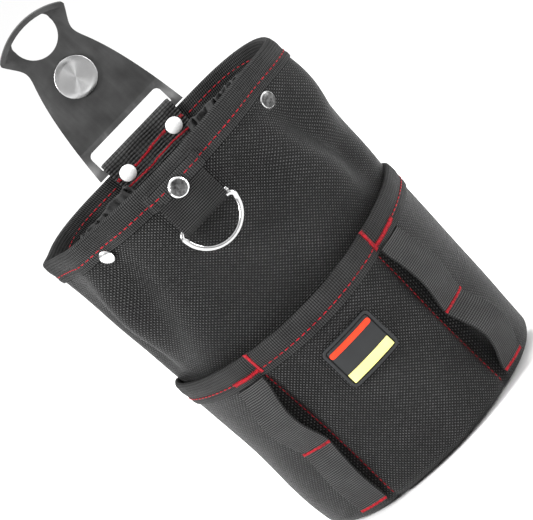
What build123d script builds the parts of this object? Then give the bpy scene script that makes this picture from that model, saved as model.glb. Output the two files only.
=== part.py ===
"""Electrician's tool pouch: a fabric bucket with an outer pocket and a tilting steel belt-hook plate.

Millimetres. +Z is up, the front faces -Y and +X is to the right of someone who looks at the front.
The origin is the middle of the base's underside.
"""
from build123d import *
import os
from dataclasses import dataclass
from math import atan2, cos, hypot, pi, sin

os.makedirs("parts", exist_ok=True)

# ---------------------------------------------------------------- driving dimensions
BODY_TOP = 212.0            # top edge of the body fabric
FABRIC = 1.4                # body and pocket fabric
REAR_FLAT = 38.0            # half width of the flat back
BASE_GAP = 2.4              # height of the body's floor over the ground
EDGE_ROUND = 8.0            # rounding where the body's walls turn into its floor
TAPE = 0.9                  # binding tape
EASE = 0.1                  # gap between sewn layers
REACH = 400.0               # larger than anything here

SEAM_Y = 21.0               # the outer pocket ends at the side seams
SEAM_TAPE = 10.0            # width of the side seams' tape
SEAM_RIB = 2.0

POCKET_TOP = 108.0          # the outer pocket's top edge at the middle
POCKET_RISE_LEFT = 5.0      # and how much higher it is at each side
POCKET_RISE_RIGHT = 10.0
POCKET_SIDE_X = 80.0
POCKET_ROUND = 9.0
DIVISION_X = 42.0           # stitched lines that divide the outer pocket
DIVISION_RIB = 2.4
POCKET_TAPE_DEPTH = 14.0

RIM_TOP = 213.2             # top of the mouth's binding
RIM_TAPE_DEPTH = 14.5

STRAP_WIDTH = 50.0          # hanger strap
STRAP = 1.8
PIVOT_Y = 47.5              # axis that the belt-hook plate tilts about
PIVOT_Z = 215.8
STRAP_EYE = 2.25            # inner radius of the strap's loop
STRAP_FRONT_END = 199.0
STRAP_REAR_END = 150.0
STRAP_FRONT_Y = 43.6        # front face of the strap's front leg
STRAP_REAR_Y = 51.4         # rear face of its rear leg
STRAP_RIVET_X = 17.3
STRAP_RIVET_Z = 208.0

PLATE = 2.5                 # belt-hook plate's steel
PLATE_FOOT = 214.2          # bottom of the plate
PLATE_BAR = 3.2             # height of the bar inside the strap's loop
PLATE_Y = 52.0              # middle of the plate's main panel
SLOT_TOP = 13.9             # heights on the plate are over its foot
SLOT_HALF = 25.75
SLOT_ROUND = 3.0
LIP_DEPTH = 7.0
PLATE_HEIGHT = 88.0
STUD_HEIGHT = 47.6
STUD_SHANK = 4.0
STUD_FACE = 11.6
STUD_FACE_DEPTH = 1.8
STUD_NECK = 5.0
STUD_NECK_DEPTH = 3.5
STUD_HEAD = 9.0
STUD_HEAD_DEPTH = 2.5

TAB_X = -3.0                # D-ring tab
TAB_WIDTH = 30.0
TAB_Y = -57.7
TAB_WEBBING = 1.5
TAB_HINGE_Z = 193.0
TAB_ANCHOR_END = 194.8
TAB_ANCHOR_TOP = 207.0
TAB_RIVET_Z = 200.8
RING_Z = 180.5              # middle of the ring's straight bar
RING_RADIUS = 17.3
RING_CORNER = 2.2
WIRE = 1.5                  # radius of the ring's wire

LOOP_WIDTH = 20.0           # tool loops
LOOP_WEBBING = 1.6
LOOP_FOOT = 9.0
LOOP_PAD = 3.0             # height of each place where a loop is sewn down
LOOP_STAND = 0.35          # gap between the pocket and a sewn-down loop

PATCH_X = 1.3               # rubber patch
PATCH_Z = 72.0
PATCH_WIDTH = 33.0
PATCH_HEIGHT = 27.0
PATCH_RIM = 2.0
PATCH_ROUND = 3.0

RIVET_POST = 2.0            # radii of the rivets' posts, holes and caps
RIVET_HOLE = 2.05
HOLE_LENGTH = 24.0
RIM_RIVET_CAP = 4.9
TAB_RIVET_CAP = 5.6
STRAP_RIVET_CAP = 4.6
CAP_HEIGHT = 1.9
BACK_DISC = 4.4
BACK_DEPTH = 1.2


@dataclass(frozen=True)
class Wall:
    """A tapering wall: its levels, and the outline's reaches at the low and the high level."""

    low: float
    high: float
    half_width: tuple
    front: tuple
    rear: tuple


BODY = Wall(BASE_GAP, 220.0, (67.5, 82.5), (43.0, 56.5), (48.0, 48.0))
POCKET = Wall(0.0, 125.0, (71.0, 79.0), (47.0, 60.0), (51.5, 51.5))


# ---------------------------------------------------------------- shared shapes
def arcs_at(wall, end):
    """Radii and centres of the side arcs and of the front arc that is tangent to both."""
    side_radius = wall.half_width[end] - REAR_FLAT
    side_y = wall.rear[end] - side_radius
    nose = wall.front[end] - side_radius
    front_y = (REAR_FLAT**2 + side_y**2 - nose**2) / (2 * (side_y + nose))
    turn = atan2(REAR_FLAT, front_y - side_y)
    return side_radius, side_y, front_y + wall.front[end], front_y, turn


def outline(wall, end, grow):
    """Face with the pouch's D-shaped outline in the current sketch: a flat back and three arcs."""
    side_radius, side_y, front_radius, front_y, turn = arcs_at(wall, end)
    rear = wall.rear[end] + grow
    side = side_radius + grow
    front = front_radius + grow
    join = (front * sin(turn), front_y - front * cos(turn))
    bulge = (REAR_FLAT + side * cos(turn / 2), side_y + side * sin(turn / 2))
    with BuildLine() as line:
        Line((-REAR_FLAT, rear), (REAR_FLAT, rear))
        ThreePointArc((REAR_FLAT, rear), bulge, join)
        ThreePointArc(join, (0, front_y - front), (-join[0], join[1]))
        ThreePointArc((-join[0], join[1]), (-bulge[0], bulge[1]), (-REAR_FLAT, rear))
    make_face(line.edges())


def filled(wall, grow, bottom=None, edge_round=0.0):
    """Solid that fills a wall's outline, offset outwards by grow, from a level upwards."""
    with BuildPart(mode=Mode.PRIVATE) as solid:
        for end, level in enumerate((wall.low, wall.high)):
            with BuildSketch(Plane.XY.offset(level)):
                outline(wall, end, grow)
        loft(ruled=True)
        if bottom is not None:
            split(bisect_by=Plane.XY.offset(bottom), keep=Keep.TOP)
        if edge_round:
            fillet(solid.faces().sort_by(Axis.Z)[0].edges(), edge_round)
    return solid.part


def block(low, high, mode=Mode.ADD):
    """Box between two corners, in the current part."""
    with Locations(low):
        Box(*[b - a for a, b in zip(low, high)], align=(Align.MIN, Align.MIN, Align.MIN), mode=mode)


def band(wall, inner, outer, low, high):
    """Ring that follows a wall between two offsets and two heights."""
    outside = filled(wall, outer)
    inside = filled(wall, inner)
    with BuildPart(mode=Mode.PRIVATE) as ring:
        add(outside)
        add(inside, mode=Mode.SUBTRACT)
        block((-REACH, -REACH, low), (REACH, REACH, high), Mode.INTERSECT)
    return ring.part


def under_scoop(drop):
    """Everything in front of the side seams and under the pocket's top edge lowered by drop."""
    left = POCKET_TOP + POCKET_RISE_LEFT - drop
    right = POCKET_TOP + POCKET_RISE_RIGHT - drop
    floor = -POCKET_TAPE_DEPTH
    with BuildPart(mode=Mode.PRIVATE) as curtain:
        with BuildSketch(Plane.XZ.offset(-SEAM_Y)):
            with BuildLine():
                Polyline((POCKET_SIDE_X, right), (POCKET_SIDE_X, floor), (-POCKET_SIDE_X, floor),
                         (-POCKET_SIDE_X, left))
                ThreePointArc((-POCKET_SIDE_X, left), (0, POCKET_TOP - drop), (POCKET_SIDE_X, right))
            make_face()
        extrude(amount=REACH)
    return curtain.part


def through_front(centre_x, centre_z, width, height, corner):
    """Rounded block that runs through the pocket's front."""
    with BuildPart(mode=Mode.PRIVATE) as bar:
        with BuildSketch(Plane.XZ):
            with Locations((centre_x, centre_z)):
                RectangleRounded(width, height, corner)
        extrude(amount=REACH)
    return bar.part


def wall_seat(wall, x, z, grow=0.0):
    """Plane on a wall's front arc: local x along the wall, local y up it, local z outwards."""
    rise = (z - wall.low) / (wall.high - wall.low)
    ends = [arcs_at(wall, end) for end in (0, 1)]

    def places(share):
        """The ruling's two end points, and its outward direction, at a share of the front arc."""
        spots = []
        for _, _, radius, centre_y, turn in ends:
            spots.append((radius * sin(turn * share), centre_y - radius * cos(turn * share)))
        out_x = (1 - rise) * sin(ends[0][4] * share) + rise * sin(ends[1][4] * share)
        out_y = (rise - 1) * cos(ends[0][4] * share) - rise * cos(ends[1][4] * share)
        length = hypot(out_x, out_y)
        return spots[0], spots[1], (out_x / length, out_y / length)

    low_share, high_share = -1.0, 1.0
    for _ in range(40):
        share = (low_share + high_share) / 2
        foot, head, out = places(share)
        if (1 - rise) * foot[0] + rise * head[0] + grow * out[0] < x:
            low_share = share
        else:
            high_share = share
    lean = ((head[0] - foot[0]) * out[0] + (head[1] - foot[1]) * out[1]) / (wall.high - wall.low)
    y = (1 - rise) * foot[1] + rise * head[1] + grow * out[1]
    return Plane(origin=(x, y, z), x_dir=(-out[1], out[0], 0), z_dir=(out[0], out[1], -lean))


# ---------------------------------------------------------------- rivets
RIM_RIVETS = ((-56.5, 194.5), (60.0, 192.5))
RIM_SEAT_GROW = 1.2
TAB_BUMP_INNER = 2 * TAB_WEBBING + 2 * EASE + 0.05
TAB_BUMP_OUTER = TAB_BUMP_INNER + TAPE
TAB_SEAT_GROW = TAB_BUMP_OUTER + EASE
INNER_POCKET_FACE = -3.7
rim_holes = [wall_seat(BODY, x, z) for x, z in RIM_RIVETS]
tab_hole = wall_seat(BODY, TAB_X, TAB_RIVET_Z)
strap_holes = [Plane(origin=(side * STRAP_RIVET_X, PIVOT_Y, STRAP_RIVET_Z), x_dir=(1, 0, 0),
                     z_dir=(0, -1, 0)) for side in (-1, 1)]


def punch(*seats):
    """Rivet holes through the current part."""
    with Locations(*seats):
        Cylinder(RIVET_HOLE, HOLE_LENGTH, mode=Mode.SUBTRACT)


def rivet_cap(radius, grip, collar=0.0):
    """Domed cap on z = 0 with its post below; a collar fills the step under the cap."""
    edge = CAP_HEIGHT / 4
    with BuildPart(mode=Mode.PRIVATE) as cap:
        with BuildSketch(Plane.XZ):
            with BuildLine():
                ThreePointArc((0, CAP_HEIGHT), (radius * 0.55, CAP_HEIGHT * 0.86), (radius, edge))
                Polyline((radius, edge), (radius, 0), (0, 0), (0, CAP_HEIGHT))
            make_face()
        revolve(axis=Axis.Z)
        Cylinder(RIVET_POST, grip, align=(Align.CENTER, Align.CENTER, Align.MAX))
        if collar:
            Cylinder(radius - 1, collar, align=(Align.CENTER, Align.CENTER, Align.MAX))
    return cap.part


def rivet_back(grip):
    """Flat washer round the far end of a post of length grip."""
    with BuildPart(mode=Mode.PRIVATE) as back:
        with Locations((0, 0, -grip)):
            Cylinder(BACK_DISC, BACK_DEPTH, align=(Align.CENTER, Align.CENTER, Align.MIN))
            Cylinder(RIVET_HOLE, 2 * BACK_DEPTH, mode=Mode.SUBTRACT)
    return back.part


def rivet_set(label, seats, radius, grip, collar=0.0):
    """Caps and backs of one kind of rivet, each kind as one node of separate solids."""
    cap_shape = rivet_cap(radius, grip, collar)
    back_shape = rivet_back(grip)
    with BuildPart() as caps:
        with Locations(*seats):
            add(cap_shape)
    with BuildPart() as backs:
        with Locations(*seats):
            add(back_shape)
    caps.part.label = f"{label}_caps"
    export_step(caps.part, f"parts/{label}_caps.step")
    backs.part.label = f"{label}_backs"
    export_step(backs.part, f"parts/{label}_backs.step")


# ---------------------------------------------------------------- body
BASE_INSET = 7.0
BASE_PANEL = 2.2
PANEL_GAP = 0.2             # gap round the base panel, inside the outer pocket's turned-under foot
with BuildPart() as base_panel:
    with BuildSketch():
        outline(BODY, 0, -BASE_INSET)
    extrude(amount=BASE_PANEL)
base_panel.part.label = "base_panel"
export_step(base_panel.part, "parts/base_panel.step")

body_outside = filled(BODY, 0, edge_round=EDGE_ROUND)
body_inside = filled(BODY, -FABRIC, BODY.low + FABRIC, EDGE_ROUND - FABRIC)
with BuildPart() as body_shell:
    add(body_outside)
    add(body_inside, mode=Mode.SUBTRACT)
    block((-REACH, -REACH, BODY_TOP), (REACH, REACH, REACH), Mode.SUBTRACT)
    punch(*rim_holes, tab_hole, *strap_holes)
body_shell.part.label = "body_shell"
export_step(body_shell.part, "parts/body_shell.step")

BOARD = 2.0
BOARD_INSET = 7.6
FLOOR = BODY.low + FABRIC
with BuildPart() as base_board:
    with BuildSketch(Plane.XY.offset(FLOOR + EASE)):
        outline(BODY, 0, -BOARD_INSET)
    extrude(amount=BOARD)
base_board.part.label = "base_board"
export_step(base_board.part, "parts/base_board.step")

LINING = 0.8
LINING_INSET = 4.2
with BuildPart() as base_lining:
    with BuildSketch(Plane.XY.offset(FLOOR + BOARD + 2 * EASE)):
        outline(BODY, 0, -LINING_INSET)
    extrude(amount=LINING)
base_lining.part.label = "base_lining"
export_step(base_lining.part, "parts/base_lining.step")

BACK_BOARD = 1.6
BACK_HALF = 36.0
BACK_LOW = 12.0
BACK_HIGH = 196.0
BACK_FACE = BODY.rear[0] - FABRIC - EASE
with BuildPart() as back_board:
    block((-BACK_HALF, BACK_FACE - BACK_BOARD, BACK_LOW), (BACK_HALF, BACK_FACE, BACK_HIGH))
    fillet(back_board.edges().filter_by(Axis.Y), PATCH_ROUND)
back_board.part.label = "back_board"
export_step(back_board.part, "parts/back_board.step")

LINING_FACE = BACK_FACE - BACK_BOARD - EASE
LINING_HALF = BACK_HALF + 1.5
LINING_LOW = 9.0
LINING_HIGH = 197.5
with BuildPart() as back_lining:
    block((-LINING_HALF, LINING_FACE - LINING, LINING_LOW), (LINING_HALF, LINING_FACE, LINING_HIGH))
back_lining.part.label = "back_lining"
export_step(back_lining.part, "parts/back_lining.step")

SIDE_LOW = 12.0
SIDE_HIGH = RIM_TOP - RIM_TAPE_DEPTH - 0.2
SIDE_FACE = 1.2
SEAM_END = SEAM_Y + SEAM_TAPE
SEAM_GAP = 0.3              # gap between one layer's edge and the next along the side seams
side_ring = band(BODY, EASE, SIDE_FACE, SIDE_LOW, SIDE_HIGH)
for side, name in ((-1, "left"), (1, "right")):
    with BuildPart() as side_binding:
        add(side_ring)
        low_x, high_x = sorted((side * REAR_FLAT, side * REACH))
        block((low_x, SEAM_Y + SEAM_GAP, 0), (high_x, SEAM_END, REACH), Mode.INTERSECT)
    side_binding.part.label = f"side_binding_{name}"
    export_step(side_binding.part, f"parts/side_binding_{name}.step")

BACK_PANEL_TOP = SIDE_HIGH - 1.5
back_ring = band(BODY, EASE, FABRIC + EASE, SIDE_LOW, BACK_PANEL_TOP)
with BuildPart() as back_panel:
    add(back_ring)
    block((-REACH, SEAM_END + SEAM_GAP, 0), (REACH, REACH, REACH), Mode.INTERSECT)
back_panel.part.label = "back_panel"
export_step(back_panel.part, "parts/back_panel.step")

# A flat pocket against the inside of the front wall, sewn along its sides and foot
INNER_FOOT = 100.0
INNER_TOP = 205.0
INNER_HALF = 66.0
INNER_CLOTH = 1.1
INNER_SEAM = 3.0
INNER_GAP = 0.15
inner_front = INNER_POCKET_FACE + INNER_CLOTH
open_half = INNER_HALF - INNER_SEAM
inner_sheet = band(BODY, INNER_POCKET_FACE, inner_front, INNER_FOOT, INNER_TOP)
inner_gap = band(BODY, inner_front, -FABRIC - INNER_GAP, INNER_FOOT, SIDE_HIGH)
with BuildPart() as seams:
    add(inner_gap)
    block((-open_half, -REACH, INNER_FOOT + INNER_SEAM), (open_half, REACH, REACH), Mode.SUBTRACT)
with BuildPart() as inner_pocket:
    add(inner_sheet)
    add(seams.part)
    block((-INNER_HALF, -REACH, 0), (INNER_HALF, 0, REACH), Mode.INTERSECT)
    punch(*rim_holes, tab_hole)
inner_pocket.part.label = "inner_pocket"
export_step(inner_pocket.part, "parts/inner_pocket.step")

# ---------------------------------------------------------------- outer pocket
pocket_outside = filled(POCKET, 0, edge_round=POCKET_ROUND)
pocket_inside = filled(POCKET, -FABRIC, FABRIC, POCKET_ROUND - FABRIC)
SEWN_GAP = 0.15             # gap between the body and the tucks that are sewn to it
RIB_DROP = POCKET_TAPE_DEPTH + 1.0
RIB_FOOT = 12.0
body_clear = filled(BODY, SEWN_GAP)
scoop = under_scoop(0)
rib_scoop = under_scoop(RIB_DROP)
pocket_middle = filled(POCKET, -FABRIC / 2)
with BuildPart() as ribs:
    add(pocket_middle)
    add(body_clear, mode=Mode.SUBTRACT)
    add(rib_scoop, mode=Mode.INTERSECT)
    block((-REACH, -REACH, 0), (REACH, REACH, RIB_FOOT), Mode.SUBTRACT)
    inner_edge = DIVISION_X - DIVISION_RIB / 2
    outer_edge = DIVISION_X + DIVISION_RIB / 2
    seam_front = SEAM_Y - SEAM_RIB
    block((-inner_edge, -REACH, 0), (inner_edge, REACH, REACH), Mode.SUBTRACT)
    block((outer_edge, -REACH, 0), (REACH, seam_front, REACH), Mode.SUBTRACT)
    block((-REACH, -REACH, 0), (-outer_edge, seam_front, REACH), Mode.SUBTRACT)
with BuildPart() as floor_hole:
    with BuildSketch(Plane.XY):
        outline(BODY, 0, PANEL_GAP - BASE_INSET)
    extrude(amount=2 * FABRIC, both=True)
with BuildPart() as front_pocket:
    add(pocket_outside)
    add(pocket_inside, mode=Mode.SUBTRACT)
    add(floor_hole.part, mode=Mode.SUBTRACT)
    add(scoop, mode=Mode.INTERSECT)
    add(ribs.part)
front_pocket.part.label = "front_pocket"
export_step(front_pocket.part, "parts/front_pocket.step")

TAPE_OUT = EASE + TAPE
TAPE_IN = -FABRIC - EASE - TAPE
TAPE_LOW = 80.0
outer_tape = band(POCKET, EASE, TAPE_OUT, TAPE_LOW, POCKET.high)
inner_tape = band(POCKET, TAPE_IN, -FABRIC - EASE, TAPE_LOW, POCKET.high)
folded_tape = band(POCKET, TAPE_IN, TAPE_OUT, TAPE_LOW, POCKET.high)
scoop_seat = under_scoop(-EASE)
scoop_over = under_scoop(-TAPE_OUT)
scoop_edge = under_scoop(POCKET_TAPE_DEPTH)
with BuildPart() as pocket_binding:
    add(folded_tape)
    add(scoop_seat, mode=Mode.SUBTRACT)
    add(outer_tape)
    add(inner_tape)
    add(scoop_over, mode=Mode.INTERSECT)
    add(scoop_edge, mode=Mode.SUBTRACT)
pocket_binding.part.label = "pocket_binding"
export_step(pocket_binding.part, "parts/pocket_binding.step")


@dataclass(frozen=True)
class ToolLoop:
    """Strip of webbing sewn down at its ends and its middle, so that it stands off as two arches."""

    x: float
    top: float
    middle: float
    upper_bulge: float
    lower_bulge: float

    def frame(self):
        """Upright plane through the strip's middle: local x is outwards and local y is up."""
        seat = wall_seat(POCKET, self.x, LOOP_FOOT)
        out = Vector(seat.z_dir.X, seat.z_dir.Y, 0).normalized()
        return Plane(origin=(seat.origin.X, seat.origin.Y, 0), x_dir=out, z_dir=out.cross(Vector(0, 0, 1)))

    def stand(self, z):
        """How far out the strip's inner face is where it lies on the pocket at a height."""
        plane = self.frame()
        reach = 0.0
        for _ in range(6):
            seat = wall_seat(POCKET, plane.origin.X + reach * plane.x_dir.X, z)
            offset_out = Vector(seat.origin.X, seat.origin.Y, 0) - plane.origin
            reach = offset_out.dot(plane.x_dir)
        return reach + LOOP_STAND

    def edge(self, thick):
        """One face of the strip, thick outside its inner face, from the foot up."""
        foot, middle, top = (self.stand(z) + thick for z in (LOOP_FOOT, self.middle, self.top))
        low_pad, high_pad = self.middle - LOOP_PAD / 2, self.middle + LOOP_PAD / 2
        low_arch = ((foot + middle) / 2 + self.lower_bulge, (LOOP_FOOT + LOOP_PAD + low_pad) / 2)
        high_arch = ((middle + top) / 2 + self.upper_bulge, (high_pad + self.top - LOOP_PAD) / 2)
        return [
            Line((foot, LOOP_FOOT), (foot, LOOP_FOOT + LOOP_PAD)),
            ThreePointArc((foot, LOOP_FOOT + LOOP_PAD), low_arch, (middle, low_pad)),
            Line((middle, low_pad), (middle, high_pad)),
            ThreePointArc((middle, high_pad), high_arch, (top, self.top - LOOP_PAD)),
            Line((top, self.top - LOOP_PAD), (top, self.top)),
        ]

    def tack_seat(self, z):
        """Plane on the strip's outer face at a height, with local z outwards."""
        plane = self.frame()
        spot = plane.origin + plane.x_dir * (self.stand(z) + LOOP_WEBBING + TACK_GAP) + Vector(0, 0, z)
        return Plane(origin=spot, x_dir=-plane.z_dir, z_dir=plane.x_dir)


TACK_GAP = 0.05
TACK = 0.7
TACK_WIDTH = 2.2
LOOP_LEFT = ToolLoop(-50.0, 94.5, 48.0, 8.0, 3.0)
LOOP_RIGHT = ToolLoop(55.0, 98.0, 52.0, 8.0, 7.0)
for loop, name in ((LOOP_LEFT, "left"), (LOOP_RIGHT, "right")):
    near, far = loop.edge(0), loop.edge(LOOP_WEBBING)
    ends = [Line(near[0] @ 0, far[0] @ 0), Line(near[-1] @ 1, far[-1] @ 1)]
    with BuildPart() as tool_loop:
        with BuildSketch(loop.frame()):
            make_face(near + far + ends)
        extrude(amount=LOOP_WIDTH / 2, both=True)
    tool_loop.part.label = f"tool_loop_{name}"
    export_step(tool_loop.part, f"parts/tool_loop_{name}.step")

# Thick bars of stitching: along the binding over each loop, down the binding at each division line,
# and across each loop's middle and foot
tack_face = band(POCKET, TAPE_OUT + TACK_GAP, TAPE_OUT + TACK_GAP + TACK, TAPE_LOW, POCKET.high)
ROW_DROP = 9.8
row_top = under_scoop(ROW_DROP - TACK_WIDTH / 2)
row_foot = under_scoop(ROW_DROP + TACK_WIDTH / 2)
ROWS = ((-58.5, -43.8), (45.0, 63.0))
with BuildPart() as tack_rows:
    add(tack_face)
    add(row_top, mode=Mode.INTERSECT)
    add(row_foot, mode=Mode.SUBTRACT)
    block((ROWS[0][1], -REACH, 0), (ROWS[1][0], REACH, REACH), Mode.SUBTRACT)
    block((ROWS[0][0], -REACH, 0), (ROWS[1][1], 0, REACH), Mode.INTERSECT)
with BuildPart() as tack_posts:
    add(tack_face)
    add(scoop_seat, mode=Mode.INTERSECT)
    add(scoop_edge, mode=Mode.SUBTRACT)
    block((-DIVISION_X - TACK_WIDTH / 2, -REACH, 0), (DIVISION_X + TACK_WIDTH / 2, 0, REACH), Mode.INTERSECT)
    block((-DIVISION_X + TACK_WIDTH / 2, -REACH, 0), (DIVISION_X - TACK_WIDTH / 2, 0, REACH), Mode.SUBTRACT)
with BuildPart() as bar_tacks:
    add(tack_rows.part)
    add(tack_posts.part)
    with Locations(*[loop.tack_seat(z) for loop in (LOOP_LEFT, LOOP_RIGHT)
                     for z in (loop.middle, LOOP_FOOT + LOOP_PAD / 2)]):
        Box(LOOP_WIDTH, TACK_WIDTH, TACK, align=(Align.CENTER, Align.CENTER, Align.MIN))
bar_tacks.part.label = "bar_tacks"
export_step(bar_tacks.part, "parts/bar_tacks.step")

PATCH_GAP = 0.15
PATCH_FIELD = 1.35
PATCH_EDGE = 2.0
BAR_FACE = 1.8
PATCH_LEVELS = (PATCH_Z - PATCH_HEIGHT, PATCH_Z + PATCH_HEIGHT)
patch_face = band(POCKET, PATCH_GAP, PATCH_EDGE, *PATCH_LEVELS)
recess_face = band(POCKET, PATCH_FIELD, 2 * PATCH_EDGE, *PATCH_LEVELS)
bar_face = band(POCKET, PATCH_FIELD + TACK_GAP, BAR_FACE, *PATCH_LEVELS)
patch_block = through_front(PATCH_X, PATCH_Z, PATCH_WIDTH, PATCH_HEIGHT, PATCH_ROUND)
recess_block = through_front(PATCH_X, PATCH_Z, PATCH_WIDTH - 2 * PATCH_RIM, PATCH_HEIGHT - 2 * PATCH_RIM,
                             PATCH_ROUND / 2)
with BuildPart() as recess:
    add(recess_face)
    add(recess_block, mode=Mode.INTERSECT)
with BuildPart() as label_patch:
    add(patch_face)
    add(patch_block, mode=Mode.INTERSECT)
    add(recess.part, mode=Mode.SUBTRACT)
label_patch.part.label = "label_patch"
export_step(label_patch.part, "parts/label_patch.step")

PATCH_BARS = (("red", 7.0, 2.6), ("yellow", -8.0, 5.0))
BAR_LENGTH = 27.0
BAR_ROUND = 0.5
for name, height, thickness in PATCH_BARS:
    bar_block = through_front(PATCH_X, PATCH_Z + height, BAR_LENGTH, thickness, BAR_ROUND)
    with BuildPart() as patch_bar:
        add(bar_face)
        add(bar_block, mode=Mode.INTERSECT)
    patch_bar.part.label = f"patch_{name}_bar"
    export_step(patch_bar.part, f"parts/patch_{name}_bar.step")

# ---------------------------------------------------------------- mouth
RIM_LOW = RIM_TOP - RIM_TAPE_DEPTH
RIM_OUT = TAPE_OUT + 0.05
RIM_INNER_LOW = 200.7
BUMP_TOP = TAB_ANCHOR_TOP + 0.3
BUMP_HALF = TAB_WIDTH / 2 + 1.0
rim_outer = band(BODY, RIM_OUT - TAPE, RIM_OUT, RIM_LOW, RIM_TOP)
rim_inner = band(BODY, TAPE_IN, -FABRIC - EASE, RIM_INNER_LOW, RIM_TOP)
rim_fold = band(BODY, TAPE_IN, RIM_OUT, BODY_TOP + EASE, RIM_TOP)
bump_face = band(BODY, EASE, TAB_BUMP_OUTER, RIM_LOW, BUMP_TOP + TAPE)
bump_room = band(BODY, 0, TAB_BUMP_INNER, RIM_LOW - 1, BUMP_TOP)
bump_side = BUMP_HALF + TAPE
with BuildPart() as bump:
    add(bump_face)
    block((TAB_X - bump_side, -REACH, 0), (TAB_X + bump_side, 0, REACH), Mode.INTERSECT)
with BuildPart() as room:
    add(bump_room)
    block((TAB_X - BUMP_HALF, -REACH, 0), (TAB_X + BUMP_HALF, 0, REACH), Mode.INTERSECT)
with BuildPart() as rim_binding:
    add(rim_outer)
    add(bump.part)
    add(room.part, mode=Mode.SUBTRACT)
    add(rim_inner)
    add(rim_fold)
    punch(tab_hole, *strap_holes)
rim_binding.part.label = "rim_binding"
export_step(rim_binding.part, "parts/rim_binding.step")

anchor_face = band(BODY, EASE, EASE + 2 * TAB_WEBBING, TAB_ANCHOR_END, TAB_ANCHOR_TOP)
with BuildPart() as ring_tab_anchor:
    add(anchor_face)
    block((TAB_X - TAB_WIDTH / 2, -REACH, 0), (TAB_X + TAB_WIDTH / 2, 0, REACH), Mode.INTERSECT)
    punch(tab_hole)
ring_tab_anchor.part.label = "ring_tab_anchor"
export_step(ring_tab_anchor.part, "parts/ring_tab_anchor.step")

TAB_EYE = 1.75
with BuildPart() as ring_tab:
    with BuildSketch(Plane.YZ.offset(TAB_X)):
        with Locations((TAB_Y, (TAB_HINGE_Z + RING_Z) / 2)):
            Rectangle(2 * TAB_WEBBING, TAB_HINGE_Z - RING_Z)
        with Locations((TAB_Y, TAB_HINGE_Z)):
            Circle(TAB_WEBBING)
        with Locations((TAB_Y, RING_Z)):
            Circle(TAB_EYE + TAB_WEBBING)
            Circle(TAB_EYE, mode=Mode.SUBTRACT)
    extrude(amount=TAB_WIDTH / 2, both=True)
ring_tab.part.label = "ring_tab"
export_step(ring_tab.part, "parts/ring_tab.step")

ring_plane = Plane(origin=(TAB_X, TAB_Y, RING_Z), x_dir=(1, 0, 0), z_dir=(0, -1, 0))
corner_x = RING_RADIUS - RING_CORNER
corner_slant = RING_CORNER * cos(pi / 4)
corner_mid = (corner_x + corner_slant, corner_slant - RING_CORNER)
with BuildPart() as d_ring:
    with BuildLine(ring_plane) as wire_path:
        Line((0, 0), (corner_x, 0))
        ThreePointArc((corner_x, 0), corner_mid, (RING_RADIUS, -RING_CORNER))
        RadiusArc((RING_RADIUS, -RING_CORNER), (0, -RING_CORNER - RING_RADIUS), RING_RADIUS)
        mirror(about=Plane(origin=ring_plane.origin, z_dir=(1, 0, 0)))
    with BuildSketch(Plane(origin=(TAB_X, TAB_Y, RING_Z), z_dir=(1, 0, 0))):
        Circle(WIRE)
    sweep(path=wire_path.wires()[0])
d_ring.part.label = "d_ring"
export_step(d_ring.part, "parts/d_ring.step")

washer = 2 * EASE + BACK_DEPTH
rim_seats = [seat.offset(RIM_SEAT_GROW) for seat in rim_holes]
rivet_set("rim_rivet", rim_seats, RIM_RIVET_CAP, RIM_SEAT_GROW - INNER_POCKET_FACE + washer,
          RIM_SEAT_GROW - 3 * EASE)
rivet_set("tab_rivet", [tab_hole.offset(TAB_SEAT_GROW)], TAB_RIVET_CAP,
          TAB_SEAT_GROW - INNER_POCKET_FACE + washer)
strap_seats = [seat.offset(PIVOT_Y - STRAP_FRONT_Y + EASE) for seat in strap_holes]
rivet_set("strap_rivet", strap_seats, STRAP_RIVET_CAP, STRAP_REAR_Y - STRAP_FRONT_Y + washer)

# ---------------------------------------------------------------- hanger strap and belt-hook plate
STRAP_LEGS = ((STRAP_FRONT_Y + STRAP / 2, STRAP_FRONT_END), (STRAP_REAR_Y - STRAP / 2, STRAP_REAR_END))
strap_gap = STRAP_REAR_Y - STRAP_FRONT_Y - 2 * STRAP
with BuildPart() as hanger_strap:
    with BuildSketch(Plane.YZ):
        with Locations((PIVOT_Y, PIVOT_Z)):
            Circle(STRAP_EYE + STRAP)
        for face, end in STRAP_LEGS:
            with Locations((face, (PIVOT_Z + end) / 2)):
                Rectangle(STRAP, PIVOT_Z - end)
        with Locations((PIVOT_Y, PIVOT_Z)):
            Circle(STRAP_EYE, mode=Mode.SUBTRACT)
        with Locations((PIVOT_Y, (PIVOT_Z + STRAP_REAR_END) / 2)):
            Rectangle(strap_gap, PIVOT_Z - STRAP_REAR_END, mode=Mode.SUBTRACT)
    extrude(amount=STRAP_WIDTH / 2, both=True)
    punch(*strap_holes)
hanger_strap.part.label = "hanger_strap"
export_step(hanger_strap.part, "parts/hanger_strap.step")

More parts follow.
